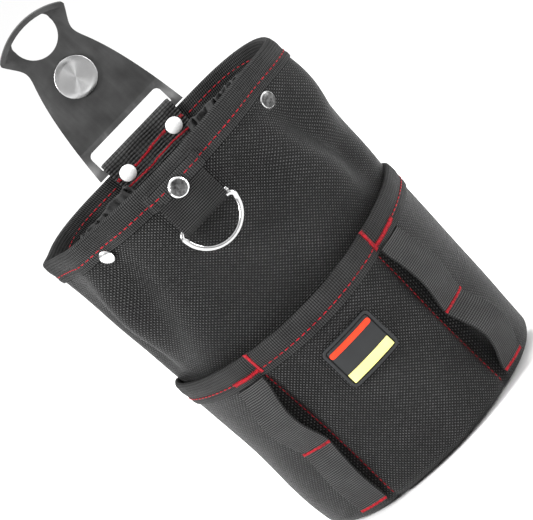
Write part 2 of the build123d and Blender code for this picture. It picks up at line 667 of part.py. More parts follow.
BEND_LOW = PLATE_BAR + 0.6  # the plate steps back between these heights
BEND_HIGH = 16.5
BEND_ROUND = 4.0
PLATE_FOOT_HALF = 31.0
LIP = 2.5                   # the forward lip's thickness, its arc's half width, and that arc's lower end
LIP_HALF = 22.5
LIP_END = 80.9
LIP_TIP = (23.4, 78.9)
LIP_CORNER = (23.7, 80.2)
SHANK_GAP = 0.05
DISC_ROUND = 0.5
HEAD_ROUND = 0.8
front_plane = Plane(origin=(0, PLATE_Y, PLATE_FOOT), x_dir=(1, 0, 0), z_dir=(0, -1, 0))
side_plane = Plane(origin=(0, 0, PLATE_FOOT), x_dir=(0, 1, 0), z_dir=(1, 0, 0))
foot_rear = PIVOT_Y + PLATE / 2
plate_rear = PLATE_Y + PLATE / 2
plate_front = PLATE_Y - PLATE / 2
with BuildPart() as bent_sheet:
    with BuildSketch(side_plane):
        with BuildLine():
            FilletPolyline((foot_rear, 0), (foot_rear, BEND_LOW), (plate_rear, BEND_HIGH),
                           (plate_rear, PLATE_HEIGHT + PLATE), radius=BEND_ROUND)
            offset(amount=PLATE, side=Side.LEFT)
        make_face()
    extrude(amount=REACH / 4, both=True)

# The lip follows the plate's top edge, an arc with its centre on the plate's middle line
lip_sag = PLATE_HEIGHT - LIP_END
lip_radius = (LIP_HALF**2 + lip_sag**2) / (2 * lip_sag)
lip_centre = PLATE_HEIGHT - lip_radius
lip_share = (lip_radius - LIP) / lip_radius
lip_middle = (LIP_HALF / 2, lip_centre + (lip_radius**2 - LIP_HALF**2 / 4) ** 0.5)
lip_inner = (lip_share * LIP_HALF, lip_centre + lip_share * (LIP_END - lip_centre))
with BuildPart() as plate_outline:
    with BuildSketch(front_plane):
        with BuildLine():
            Spline((PLATE_FOOT_HALF, 0), (29.3, SLOT_TOP), (25.4, 36.2), (19.0, 58.6), (17.1, 67.2),
                   (20.2, 73.6), LIP_TIP)
            ThreePointArc(LIP_TIP, LIP_CORNER, (LIP_HALF, LIP_END))
            ThreePointArc((LIP_HALF, LIP_END), lip_middle, (0, PLATE_HEIGHT))
            mirror(about=Plane.YZ)
            Line((-PLATE_FOOT_HALF, 0), (PLATE_FOOT_HALF, 0))
        make_face()
        with BuildSketch(mode=Mode.SUBTRACT) as slot:
            with Locations((0, (PLATE_BAR + SLOT_TOP) / 2)):
                Rectangle(2 * SLOT_HALF, SLOT_TOP - PLATE_BAR)
            fillet(slot.vertices().group_by(Axis.Y)[-1], SLOT_ROUND)
        with BuildLine():
            ThreePointArc((-12.7, 79), (0, 65.3), (12.7, 79))
            ThreePointArc((12.7, 79), (12.0, 82.4), (9.0, 84.3))
            ThreePointArc((9.0, 84.3), (0, 85.3), (-9.0, 84.3))
            ThreePointArc((-9.0, 84.3), (-12.0, 82.4), (-12.7, 79))
        make_face(mode=Mode.SUBTRACT)
        with Locations((0, STUD_HEIGHT)):
            Circle(STUD_SHANK + SHANK_GAP, mode=Mode.SUBTRACT)
    extrude(amount=REACH / 4, both=True)
with BuildPart() as hook_plate:
    add(bent_sheet.part)
    add(plate_outline.part, mode=Mode.INTERSECT)
    with BuildSketch(front_plane):
        with BuildLine():
            ThreePointArc((LIP_HALF, LIP_END), (0, PLATE_HEIGHT), (-LIP_HALF, LIP_END))
            ThreePointArc(lip_inner, (0, PLATE_HEIGHT - LIP), (-lip_inner[0], lip_inner[1]))
            Line((LIP_HALF, LIP_END), lip_inner)
            Line((-LIP_HALF, LIP_END), (-lip_inner[0], lip_inner[1]))
        make_face()
    extrude(amount=PLATE / 2 + LIP_DEPTH)
hook_plate.part.label = "hook_plate"
export_step(hook_plate.part, "parts/hook_plate.step")

DISC_GAP = 0.05
stud_middle = PLATE_FOOT + STUD_HEIGHT
disc_seat = Plane(origin=(0, plate_front - DISC_GAP, stud_middle), z_dir=(0, -1, 0))
shank_seat = Plane(origin=(0, plate_front, stud_middle), z_dir=(0, 1, 0))
neck_seat = Plane(origin=(0, plate_rear + DISC_GAP, stud_middle), z_dir=(0, 1, 0))
ON_SEAT = (Align.CENTER, Align.CENTER, Align.MIN)
with BuildPart() as stud_disc:
    with Locations(disc_seat):
        Cylinder(STUD_FACE, STUD_FACE_DEPTH, align=ON_SEAT)
    fillet(stud_disc.faces().sort_by(Axis.Y)[0].edges(), DISC_ROUND)
stud_disc.part.label = "stud_disc"
export_step(stud_disc.part, "parts/stud_disc.step")

with BuildPart() as hook_stud:
    with Locations(shank_seat):
        Cylinder(STUD_SHANK, PLATE + STUD_NECK_DEPTH, align=ON_SEAT)
    with Locations(neck_seat):
        Cylinder(STUD_NECK, STUD_NECK_DEPTH, align=ON_SEAT)
    with Locations(neck_seat.offset(STUD_NECK_DEPTH)):
        Cylinder(STUD_HEAD, STUD_HEAD_DEPTH, align=ON_SEAT)
    fillet(hook_stud.faces().sort_by(Axis.Y)[-1].edges(), HEAD_ROUND)
hook_stud.part.label = "hook_stud"
export_step(hook_stud.part, "parts/hook_stud.step")
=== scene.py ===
"""Looks of a tall fabric tool pouch with an outer pocket, tool loops and a tilting steel belt-hook plate.

Metres. +Z is up, the front faces -Y, and +X is to the right of someone who looks at the front.
"""
import logging
from collections.abc import Callable
from dataclasses import dataclass, field, replace
from enum import Enum
from math import asin, atan2, copysign, cos, exp, hypot, pi, radians, sin
from random import Random

import bmesh
import bpy
from mathutils import Matrix, Vector, noise


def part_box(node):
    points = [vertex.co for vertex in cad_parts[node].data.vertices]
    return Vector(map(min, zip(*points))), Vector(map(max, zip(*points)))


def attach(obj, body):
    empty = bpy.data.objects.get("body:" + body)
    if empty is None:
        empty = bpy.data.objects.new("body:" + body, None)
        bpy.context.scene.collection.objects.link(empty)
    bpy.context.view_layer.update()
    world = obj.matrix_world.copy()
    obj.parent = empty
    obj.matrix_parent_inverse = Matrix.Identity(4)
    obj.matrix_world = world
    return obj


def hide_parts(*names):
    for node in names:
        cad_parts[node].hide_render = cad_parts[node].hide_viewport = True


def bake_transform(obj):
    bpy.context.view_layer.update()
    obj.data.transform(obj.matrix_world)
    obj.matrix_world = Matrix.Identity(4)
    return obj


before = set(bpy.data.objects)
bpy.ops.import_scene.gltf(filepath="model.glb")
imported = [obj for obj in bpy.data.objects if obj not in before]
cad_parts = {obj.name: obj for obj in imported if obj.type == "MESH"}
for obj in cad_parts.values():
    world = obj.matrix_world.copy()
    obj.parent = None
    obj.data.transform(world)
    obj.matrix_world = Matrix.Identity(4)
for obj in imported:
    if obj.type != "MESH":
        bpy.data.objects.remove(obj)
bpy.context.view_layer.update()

MM = 0.001
TAPE_WIDTH = 30 * MM
LOG = logging.getLogger("tool_pouch")
Socket, Material, Mesh = bpy.types.NodeSocket, bpy.types.Material, bmesh.types.BMesh
Place = Callable[[float, float], Vector]
Path = Callable[[float], tuple[Vector, Vector]]


# ---------------------------------------------------------------- small helpers
def smooth(value: float, low: float, high: float) -> float:
    """Ease from 0 at low to 1 at high."""
    share = min(max((value - low) / (high - low), 0.0), 1.0)
    return share * share * (3 - 2 * share)


def between(low: float, high: float, share: float) -> float:
    """The value a share of the way from low to high."""
    return low + (high - low) * share


@dataclass(frozen=True)
class Fold:
    """A soft ridge or dent in a cloth wall.

    along and height are its middle, length runs up the wall and width across it, lean turns it
    clockwise in degrees, and depth is how far it stands out, negative for a dent.
    """

    along: float
    height: float
    length: float
    width: float
    lean: float
    depth: float

    def rise(self, along: float, height: float) -> float:
        """How far this fold pushes the cloth out at a place on the wall."""
        turn = radians(self.lean)
        across = (along - self.along) * cos(turn) - (height - self.height) * sin(turn)
        up = (along - self.along) * sin(turn) + (height - self.height) * cos(turn)
        return self.depth * exp(-((across / self.width) ** 2) - (up / self.length) ** 2)


@dataclass(frozen=True)
class Wall:
    """A tapering D-shaped wall: a flat back, two side arcs and a front arc, with soft folds.

    A place on it is a distance along the wall from the middle of the front, positive towards +X,
    and a height.
    """

    low: float
    high: float
    half_width: tuple[float, float]
    front: tuple[float, float]
    rear: tuple[float, float]
    rear_flat: float
    folds: tuple[Fold, ...] = ()
    dips: tuple[Fold, ...] = ()
    ripple: float = 0.0

    def arcs(self, height: float) -> tuple[float, float, float, float, float]:
        """Side arc's radius and centre, front arc's radius and centre, and the angle where they meet."""
        rise = (height - self.low) / (self.high - self.low)
        rear = between(*self.rear, rise)
        side_radius = between(*self.half_width, rise) - self.rear_flat
        side_y = rear - side_radius
        nose = between(*self.front, rise) - side_radius
        front_y = (self.rear_flat**2 + side_y**2 - nose**2) / (2 * (side_y + nose))
        front_radius = front_y + nose + side_radius
        return side_radius, side_y, front_radius, front_y, atan2(self.rear_flat, front_y - side_y)

    def half_girth(self, height: float) -> float:
        """Distance along the wall from the middle of the front to the middle of the back."""
        side_radius, _, front_radius, _, turn = self.arcs(height)
        return front_radius * turn + side_radius * (pi - turn) + self.rear_flat

    def along_at(self, x: float, height: float) -> float:
        """Distance along the wall at which the front or side arc is at an x."""
        side_radius, _, front_radius, _, turn = self.arcs(height)
        if abs(x) < front_radius * sin(turn):
            return front_radius * asin(x / front_radius)
        lean = asin(min((abs(x) - self.rear_flat) / side_radius, 1.0))
        return copysign(front_radius * turn + side_radius * (lean - turn), x)

    def along_side(self, y: float, height: float) -> float:
        """Distance along the wall at which the side arc is at a y behind its centre."""
        side_radius, side_y, front_radius, _, turn = self.arcs(height)
        angle = pi / 2 + asin((y - side_y) / side_radius)
        return front_radius * turn + side_radius * (angle - turn)

    def softness(self, along: float, height: float) -> float:
        """How far the folds and the cloth's unevenness push the wall out."""
        push = sum(fold.rise(along, height) for fold in self.folds)
        if self.ripple:
            spot = Vector((along, height, self.ripple)) / (34 * MM)
            front_share = 1 - smooth(abs(along), 0.105, 0.135)
            push += self.ripple * noise.noise(spot) * front_share
        return push

    def place(self, along: float, height: float, out: float = 0.0) -> Vector:
        """Point of the wall, moved outwards by out."""
        side_radius, side_y, front_radius, front_y, turn = self.arcs(height)
        reach = abs(along)
        hand = copysign(1.0, along)
        push = out + self.softness(along, height)
        lift = sum(dip.rise(along, height) for dip in self.dips)
        front_run = front_radius * turn
        side_run = front_run + side_radius * (pi - turn)
        if reach < front_run:
            angle = reach / front_radius
            x, y = (front_radius + push) * sin(angle), front_y - (front_radius + push) * cos(angle)
        elif reach < side_run:
            angle = turn + (reach - front_run) / side_radius
            x = self.rear_flat + (side_radius + push) * sin(angle)
            y = side_y - (side_radius + push) * cos(angle)
        else:
            x, y = self.rear_flat - (reach - side_run), side_y + side_radius + push
        return Vector((hand * x, y, height + lift))

    def seat(self, along: float, height: float, out: float = 0.0) -> Matrix:
        """Frame on the wall: x along it, y up it and z outwards."""
        step = 0.5 * MM
        middle = self.place(along, height, out)
        across = self.place(along + step, height, out) - self.place(along - step, height, out)
        up = self.place(along, height + step, out) - self.place(along, height - step, out)
        return seat_at(middle, across, up)

    def facing(self, along: float, height: float, out: float) -> tuple[Vector, Vector]:
        """Point of the wall, moved outwards by out, and its outward direction."""
        seat = self.seat(along, height, out)
        return seat.translation, seat.col[2].to_3d()

    def row(self, height: Callable[[float], float], out: float) -> Path:
        """Path along the wall, at a height that may change with the distance along."""
        return lambda distance: self.facing(distance, height(distance), out)

    def column(self, along: Callable[[float], float], out: float) -> Path:
        """Path up the wall, at a distance along that may change with the height."""
        return lambda height: self.facing(along(height), height, out)


def seat_at(middle: Vector, across: Vector, up: Vector) -> Matrix:
    """Frame with x along across, y as near to up as it can be, and z out of both."""
    x_axis = across.normalized()
    z_axis = x_axis.cross(up).normalized()
    y_axis = z_axis.cross(x_axis)
    seat = Matrix((x_axis, y_axis, z_axis)).transposed().to_4x4()
    seat.translation = middle
    return seat


# ---------------------------------------------------------------- finishes
class Coordinates(Enum):
    """What a pattern follows."""

    CLOTH = "UV"
    OBJECT = "Object"


class Shader:
    """Builds one material's nodes, step by step."""

    def __init__(self, name: str, **constants: float | tuple[float, ...]) -> None:
        """Start a Principled surface and set its sockets, named with underscores for spaces."""
        self.material = bpy.data.materials.new(name)
        self.material.use_nodes = True
        self.nodes = self.material.node_tree.nodes
        self.links = self.material.node_tree.links
        self.surface = next(node for node in self.nodes if node.type == "BSDF_PRINCIPLED")
        for socket, value in constants.items():
            self.surface.inputs[socket.replace("_", " ")].default_value = value

    def node(self, kind: str, inputs: dict[int | str, object], **settings: object) -> bpy.types.Node:
        """Add a node, set its settings, and link or fill its inputs."""
        made = self.nodes.new(kind)
        for name, value in settings.items():
            setattr(made, name, value)
        for key, value in inputs.items():
            if isinstance(value, Socket):
                self.links.new(value, made.inputs[key])
            else:
                made.inputs[key].default_value = value
        return made

    def spots(self, follows: Coordinates, scale: tuple[float, float, float] = (1.0, 1.0, 1.0)) -> Socket:
        """Coordinates in metres, scaled."""
        source = self.node("ShaderNodeTexCoord", {}).outputs[follows.value]
        return self.node("ShaderNodeMapping", {"Vector": source, "Scale": scale}).outputs[0]

    def math(self, operation: str, first: object, second: object = 0.5, clamp: bool = False) -> Socket:
        """One step of arithmetic."""
        inputs = {0: first, 1: second}
        return self.node("ShaderNodeMath", inputs, operation=operation, use_clamp=clamp).outputs[0]

    def times(self, first: object, second: object) -> Socket:
        """The product of two values."""
        return self.math("MULTIPLY", first, second)

    def plus(self, first: object, second: object, clamp: bool = True) -> Socket:
        """The sum of two values, kept between 0 and 1 if clamped."""
        return self.math("ADD", first, second, clamp)

    def ribs(self, value: object) -> Socket:
        """Even humps from 0 to 1, one for each pi."""
        return self.math("ABSOLUTE", self.math("SINE", value))

    def parts(self, vector: Socket) -> bpy.types.NodeOutputs:
        """A vector's x, y and z."""
        return self.node("ShaderNodeSeparateXYZ", {0: vector}).outputs

    def clouds(self, vector: Socket, scale: float, detail: float = 3.0) -> Socket:
        """Soft noise from 0 to 1."""
        inputs = {"Vector": vector, "Scale": scale, "Detail": detail}
        return self.node("ShaderNodeTexNoise", inputs).outputs[0]

    def speckle(self, vector: Socket) -> Socket:
        """A random value for each whole-numbered cell."""
        cell = self.node("ShaderNodeVectorMath", {0: vector}, operation="FLOOR").outputs[0]
        return self.node("ShaderNodeTexWhiteNoise", {"Vector": cell}).outputs[0]

    def colours(self, share: Socket, *stops: tuple[float, float | tuple[float, float, float]]) -> Socket:
        """Colours along a ramp. A single number is a grey."""
        made = self.node("ShaderNodeValToRGB", {0: share})
        ramp = made.color_ramp
        while len(ramp.elements) < len(stops):
            ramp.elements.new(0.5)
        for element, (position, colour) in zip(ramp.elements, stops):
            element.position = position
            element.color = (*(colour if isinstance(colour, tuple) else (colour, colour, colour)), 1.0)
        return made.outputs[0]

    def range(self, share: Socket, low: float, high: float) -> Socket:
        """A value from 0 to 1 spread over a new range."""
        return self.node("ShaderNodeMapRange", {0: share, 3: low, 4: high}).outputs[0]

    def ease(self, value: Socket, low: float, high: float) -> Socket:
        """A smooth step from 0 at low to 1 at high."""
        return self.node("ShaderNodeMapRange", {0: value, 1: low, 2: high},
                         interpolation_type="SMOOTHSTEP").outputs[0]

    def paint(self, colour: Socket | None = None, roughness: Socket | None = None,
              height: Socket | None = None, depth: float = 0.0) -> Material:
        """Link colour, roughness and bump to the surface and return the material."""
        if colour is not None:
            self.links.new(colour, self.surface.inputs["Base Color"])
        if roughness is not None:
            self.links.new(roughness, self.surface.inputs["Roughness"])
        if height is not None:
            bump = self.node("ShaderNodeBump", {"Height": height, "Distance": depth, "Strength": 1.0})
            self.links.new(bump.outputs[0], self.surface.inputs["Normal"])
        return self.material


@dataclass(frozen=True)
class WovenNylon:
    """Heavy plain-weave nylon: flat threads, with painted highlights on their crowns and painted shade in the
    pits where they cross.
    """

    name: str
    thread: float
    pit_shade: float
    shade: float
    crown_highlight: float
    relief: float
    roughness: float = 0.46

    def material(self) -> Material:
        """Threads that pass over each other like a checkerboard, with painted highlights on the crowns,
        painted shade in the pits and broad patches of painted light.
        """
        shader = Shader(self.name, Specular_IOR_Level=0.2)
        cells = shader.spots(Coordinates.CLOTH, (1 / self.thread, 1 / self.thread, 1.0))
        wide = shader.spots(Coordinates.CLOTH)
        x, y, _ = shader.parts(cells)
        over = shader.times(*(shader.math("SINE", shader.times(way, pi)) for way in (x, y)))
        dome = shader.math("POWER", shader.math("ABSOLUTE", over), 0.6)
        lit = shader.math("POWER", shader.math("MAXIMUM", over, 0.0), 0.7)
        uneven = shader.range(shader.speckle(cells), 0.75, 1.2)
        # Broad soft patches of painted light across the cloth.
        painted_light_patches = shader.range(shader.clouds(wide, 42.0), 0.5, 1.5)
        lit_share = shader.times(shader.times(lit, uneven), painted_light_patches)
        share = shader.plus(shader.times(lit_share, 0.62), shader.times(dome, 0.38))
        # Painted highlights on the thread crowns and painted shade in the pits where the threads cross.
        colour = shader.colours(share, (0.0, self.pit_shade), (0.45, self.shade), (1.0, self.crown_highlight))
        roughness = shader.range(shader.clouds(wide, 260.0), self.roughness - 0.07, self.roughness + 0.08)
        return shader.paint(colour, roughness, dome, self.relief)


@dataclass(frozen=True)
class RibbedTape:
    """Narrow woven tape or webbing with ribs across it."""

    name: str
    rib: float
    groove_shade: float
    shade: float
    crown_highlight: float
    relief: float
    roughness: float = 0.6
    wander: float = 0.0
    fray: float = 0.0

    def material(self) -> Material:
        """Ribs at even steps along the tape, crossed by fine threads, with colour that follows their height:
        painted highlights on the crowns and painted shade in the grooves.
        """
        shader = Shader(self.name, Specular_IOR_Level=0.12)
        wide = shader.spots(Coordinates.CLOTH)
        x, y, _ = shader.parts(wide)
        drift = shader.times(shader.clouds(wide, 150.0), self.wander)
        rib = shader.ribs(shader.plus(shader.times(x, pi / self.rib), drift, clamp=False))
        fine = shader.ribs(shader.times(y, 0.8 * pi / self.rib))
        height = shader.plus(shader.math("POWER", rib, 0.7), shader.times(fine, 0.35), clamp=False)
        wear = shader.range(shader.clouds(wide, 55.0, 5.0), 0.72, 1.3)
        hairs = shader.times(shader.clouds(wide, 1500.0, 2.0), self.fray)
        share = shader.plus(shader.times(shader.times(height, 0.62), wear), hairs)
        # Painted highlights on the rib crowns and painted shade in the grooves.
        colour = shader.colours(share, (0.0, self.groove_shade), (0.5, self.shade), (1.0, self.crown_highlight))
        roughness = shader.range(shader.clouds(wide, 300.0), self.roughness - 0.08, self.roughness + 0.1)
        return shader.paint(colour, roughness, height, self.relief)


@dataclass(frozen=True)
class PlainCloth:
    """Thin lining cloth or matt board with a fine even grain."""

    name: str
    grain: float
    shade: float
    relief: float
    roughness: float = 0.75

    def material(self) -> Material:
        """Fine grain in both directions with slow changes of shade."""
        shader = Shader(self.name, Specular_IOR_Level=0.25, Sheen_Weight=0.1, Sheen_Roughness=0.5)
        spots = shader.spots(Coordinates.OBJECT)
        fine = shader.clouds(spots, 1 / self.grain, 2.0)
        slow = shader.clouds(spots, 60.0)
        share = shader.plus(shader.times(fine, 0.6), shader.times(slow, 0.4), clamp=False)
        colour = shader.colours(share, (0.25, self.shade * 0.5), (0.75, self.shade * 1.5))
        roughness = shader.range(slow, self.roughness - 0.1, self.roughness + 0.1)
        return shader.paint(colour, roughness, fine, self.relief)


@dataclass(frozen=True)
class SewingThread:
    """Bonded polyester thread with a soft gloss."""

    name: str
    colour: tuple[float, float, float]
    deep: tuple[float, float, float]

    def material(self) -> Material:
        """Two shades of the thread's colour, as the twist turns in and out of the light."""
        shader = Shader(self.name, Specular_IOR_Level=0.2)
        twist = shader.clouds(shader.spots(Coordinates.OBJECT), 900.0, 2.0)
        colour = shader.colours(twist, (0.3, self.deep), (0.62, self.colour))
        return shader.paint(colour, shader.range(twist, 0.42, 0.62), twist, 0.12 * MM)


@dataclass(frozen=True)
class MouldedRubber:
    """Moulded rubber with a satin skin."""

    name: str
    colour: tuple[float, float, float]
    roughness: float

    def material(self) -> Material:
        """A nearly even colour with a fine moulded grain."""
        shader = Shader(self.name, Specular_IOR_Level=0.25)
        spots = shader.spots(Coordinates.OBJECT)
        fine = shader.clouds(spots, 2200.0, 2.0)
        slow = shader.clouds(spots, 140.0)
        dark = tuple(0.86 * channel for channel in self.colour)
        colour = shader.colours(slow, (0.35, dark), (0.65, self.colour))
        return shader.paint(colour, shader.range(slow, self.roughness - 0.06, self.roughness + 0.06), fine,
                            0.03 * MM)


@dataclass(frozen=True)
class PaintedSteel:
    """Steel under a thin dark satin coat with fine scuffs, and a painted highlight that lightens the arms
    beside the slot.
    """

    name: str
    dark: float
    light: float
    arm_highlight: float
    highlight_top: float = 236.0 * MM
    highlight_foot: float = 217.0 * MM

    def material(self) -> Material:
        """Cloudy greys with fine scuffs, and a painted highlight that grows lighter down over the arms beside
        the slot.
        """
        shader = Shader(self.name, Metallic=0.2, Specular_IOR_Level=0.35)
        spots = shader.spots(Coordinates.OBJECT)
        clouds = shader.clouds(spots, 75.0, 4.0)
        grain = shader.clouds(spots, 1800.0, 2.0)
        stretched = shader.spots(Coordinates.OBJECT, (1.0, 1.0, 0.12))
        scuffs = shader.math("POWER", shader.clouds(stretched, 420.0, 3.0), 3.0)
        cloudy = shader.plus(clouds, shader.times(scuffs, 0.4))
        # Painted highlight: the colour grows lighter from the upper height down to the lower one, over the
        # arms beside the slot.
        arm_highlight = shader.ease(shader.parts(spots)[2], self.highlight_top, self.highlight_foot)
        share = shader.plus(shader.times(cloudy, 0.72), shader.times(arm_highlight, 0.42))
        colour = shader.colours(share, (0.2, self.dark), (0.56, self.light), (1.0, self.arm_highlight))
        return shader.paint(colour, shader.range(clouds, 0.36, 0.52), grain, 0.02 * MM)


@dataclass(frozen=True)
class BrushedMetal:
    """Bare metal, turned or brushed round its middle."""

    name: str
    shade: float
    roughness: float
    turned: float

    def material(self) -> Material:
        """Fine rings round the piece's own middle, which stretch the highlights across them."""
        shader = Shader(self.name, Metallic=1.0, Anisotropic=self.turned, Roughness=self.roughness)
        rings = shader.parts(shader.spots(Coordinates.CLOTH))[0]
        fine = shader.node("ShaderNodeTexNoise", {"W": rings, "Scale": 9000.0, "Detail": 2.0},
                           noise_dimensions="1D").outputs[0]
        colour = shader.colours(fine, (0.3, self.shade * 0.82), (0.7, self.shade))
        tangent = shader.node("ShaderNodeTangent", {}, direction_type="RADIAL", axis="Y")
        shader.links.new(tangent.outputs[0], shader.surface.inputs["Tangent"])
        return shader.paint(colour, None, fine, 0.004 * MM)


@dataclass(frozen=True)
class Plating:
    """Bright nickel or chrome plate with faint wear, darker in the middle of a worn cap."""

    name: str
    shade: float
    roughness: float
    worn_middle: float = 0.0
    worn_edge: float = 0.0
    metallic: float = 1.0

    def material(self) -> Material:
        """Bright plate; it fades to a dull dark nickel from worn_edge to worn_middle from the axis."""
        shader = Shader(self.name, Metallic=self.metallic)
        wear = shader.clouds(shader.spots(Coordinates.OBJECT), 700.0)
        bright = shader.colours(wear, (0.3, self.shade * 0.86), (0.7, self.shade))
        roughness = shader.range(wear, self.roughness * 0.8, self.roughness * 1.3)
        if not self.worn_middle:
            return shader.paint(bright, roughness)
        radius = shader.parts(shader.spots(Coordinates.CLOTH))[0]
        inside = shader.ease(radius, self.worn_edge, self.worn_middle)
        dull = shader.colours(wear, (0.3, 0.03), (0.75, 0.14))
        mixed = shader.node("ShaderNodeMix", {0: inside, 6: bright, 7: dull}, data_type="RGBA").outputs[2]
        return shader.paint(mixed, shader.range(inside, self.roughness, 0.42))


NYLON = WovenNylon("ballistic_nylon", 1.1 * MM, 0.0006, 0.0028, 0.074, 0.55 * MM).material()
TAPE = RibbedTape("binding_tape", 1.2 * MM, 0.001, 0.0055, 0.055, 0.55 * MM, fray=0.06).material()
WEBBING = RibbedTape("ribbed_webbing", 1.1 * MM, 0.001, 0.005, 0.05, 0.55 * MM, wander=1.0,
                     fray=0.06).material()
COARSE_WEBBING = RibbedTape("coarse_webbing", 1.75 * MM, 0.002, 0.009, 0.075, 0.5 * MM, wander=2.0,
                            fray=0.1).material()
LOOP_WEBBING = RibbedTape("loop_webbing", 1.15 * MM, 0.002, 0.011, 0.07, 0.5 * MM, roughness=0.72, wander=2.2,
                          fray=0.2).material()
LINING = PlainCloth("lining_cloth", 0.5 * MM, 0.03, 0.15 * MM).material()
BOARD = PlainCloth("stiffener_board", 0.9 * MM, 0.035, 0.05 * MM).material()
COATED = PlainCloth("coated_base_cloth", 0.7 * MM, 0.02, 0.15 * MM, 0.5).material()
RED_THREAD = SewingThread("red_thread", (0.36, 0.004, 0.013), (0.1, 0.001, 0.004)).material()
PATCH_BLACK = MouldedRubber("patch_rubber", (0.018, 0.019, 0.02), 0.55).material()
PATCH_RED = MouldedRubber("patch_red", (0.8, 0.04, 0.008), 0.5).material()
PATCH_YELLOW = MouldedRubber("patch_yellow", (0.95, 0.88, 0.27), 0.5).material()
HOOK_STEEL = PaintedSteel("hook_steel", 0.018, 0.05, 0.2).material()
DISC_METAL = BrushedMetal("disc_metal", 0.44, 0.27, 0.95).material()
STUD_METAL = BrushedMetal("stud_metal", 0.4, 0.3, 0.3).material()
NICKEL = Plating("rivet_nickel", 0.93, 0.16).material()
NICKEL_WORN = Plating("rivet_nickel_worn", 0.9, 0.12, 3.8 * MM, 4.3 * MM).material()
NICKEL_WORN_WIDE = Plating("rivet_nickel_worn_wide", 0.9, 0.12, 4.3 * MM, 4.9 * MM).material()
SATIN_NICKEL = Plating("rivet_nickel_satin", 0.96, 0.42, metallic=0.25).material()
CHROME = Plating("ring_chrome", 0.5, 0.19).material()


# ---------------------------------------------------------------- mesh helpers
def placed(name: str, data: bpy.types.ID) -> bpy.types.Object:
    """Add an object with its data to the scene."""
    made = bpy.data.objects.new(name, data)
    bpy.context.scene.collection.objects.link(made)
    return made


def piece_from(mesh: Mesh, name: str, material: Material, body: str, slot: str,
               *nodes: str) -> bpy.types.Object:
    """Turn a finished bmesh into a piece of the object.

    Args:
        mesh: The shape, in the frame's own place. It is freed here.
        name: The piece's name.
        material: Its finish.
        body: The body it moves with, or an empty word to leave it unattached.
        slot: The record's material slot; not used.
        nodes: The CAD nodes that it stands for.

    Returns:
        The new object.
    """
    data = bpy.data.meshes.new(name)
    for face in mesh.faces:
        face.smooth = True
    mesh.to_mesh(data)
    mesh.free()
    data.materials.append(material)
    piece = placed(name, data)
    if body:
        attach(piece, body)
    if nodes:
        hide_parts(*nodes)
    LOG.info("%s: %d faces", name, len(data.polygons))
    return piece


@dataclass(frozen=True)
class Cloth:
    """What a piece of cloth, tape or webbing is made of, and how its grid is laid.

    offset places the thickness: -1 inwards from the face and 1 outwards. strip turns the weave a quarter,
    so that ribs lie across a strip that runs up; inward turns the faces over; joined merges the ends.
    """

    material: Material
    slot: str
    thickness: float
    rounding: float = 0.0
    offset: float = -1.0
    strip: bool = False
    inward: bool = False
    joined: bool = False

    def lay(self, name: str, squares: tuple[int, int], place: Place, size: tuple[float, float], *nodes: str,
            body: str = "root") -> bpy.types.Object:
        """Lay the cloth over a surface.

        Args:
            name: The piece's name.
            squares: Squares across the cloth and up it.
            place: Gives the point for a share across and a share up.
            size: The cloth's width and height, for its weave.
            nodes: The CAD nodes that it stands for.
            body: The body it moves with, or an empty word to leave it unattached.

        Returns:
            The piece, with soft edges where it has a rounding.
        """
        mesh = bmesh.new()
        weave = mesh.loops.layers.uv.verify()
        bmesh.ops.create_grid(mesh, x_segments=squares[0], y_segments=squares[1], size=0.5)
        for face in mesh.faces:
            for loop in face.loops:
                spot = ((loop.vert.co.x + 0.5) * size[0], (loop.vert.co.y + 0.5) * size[1])
                loop[weave].uv = spot[::-1] if self.strip else spot
        for vert in mesh.verts:
            vert.co = place(vert.co.x + 0.5, vert.co.y + 0.5)
        if self.joined:
            bmesh.ops.remove_doubles(mesh, verts=mesh.verts, dist=0.01 * MM)
        if self.inward:
            bmesh.ops.reverse_faces(mesh, faces=mesh.faces)
        piece = piece_from(mesh, name, self.material, body, self.slot, *nodes)
        solid = piece.modifiers.new("thickness", "SOLIDIFY")
        solid.thickness = self.thickness
        solid.offset = self.offset
        solid.use_even_offset = True
        if self.rounding:
            soft = piece.modifiers.new("soft_edges", "BEVEL")
            soft.width = self.rounding
            soft.segments = 2
            soft.limit_method = "ANGLE"
            soft.angle_limit = radians(50)
        return piece


def pull_up(mesh: Mesh, height: float) -> None:
    """Extrude every face upwards by a height and turn the closed shape's faces outwards."""
    grown = bmesh.ops.extrude_face_region(mesh, geom=list(mesh.faces))["geom"]
    raised = [item for item in grown if isinstance(item, bmesh.types.BMVert)]
    bmesh.ops.translate(mesh, verts=raised, vec=(0, 0, height))
    bmesh.ops.recalc_face_normals(mesh, faces=mesh.faces)


def ease_edges(mesh: Mesh, sharper: float, width: float, segments: int = 3,
               clamp: bool = False) -> None:
    """Round every edge that turns by more than an angle in degrees."""
    sharp = [edge for edge in mesh.edges if edge.calc_face_angle(0) > radians(sharper)]
    bmesh.ops.bevel(mesh, geom=sharp, offset=width, offset_type="OFFSET", segments=segments, profile=0.5,
                    affect="EDGES", material=-1, clamp_overlap=clamp)


def section_walk(section: list[tuple[float, float]], share: float) -> tuple[float, float]:
    """Point at a share of the way along a section's straight runs."""
    runs = [hypot(b[0] - a[0], b[1] - a[1]) for a, b in zip(section, section[1:])]
    left = share * sum(runs)
    for (a, b), run in zip(zip(section, section[1:]), runs):
        if left <= run or b is section[-1]:
            part = min(left / run, 1.0)
            return between(a[0], b[0], part), between(a[1], b[1], part)
        left -= run
    return section[-1]


def folded_section(outer: float, inner: float, top: float, outer_foot: float, inner_foot: float,
                   turns: int = 8) -> list[tuple[float, float]]:
    """Section of tape folded over an edge: (out, height) from the outer foot over to the inner foot."""
    radius = (outer - inner) / 2
    middle = (outer + inner) / 2
    bend = [(middle + radius * cos(pi * step / turns), top - radius + radius * sin(pi * step / turns))
            for step in range(turns + 1)]
    return [(outer, outer_foot), *bend, (inner, inner_foot)]


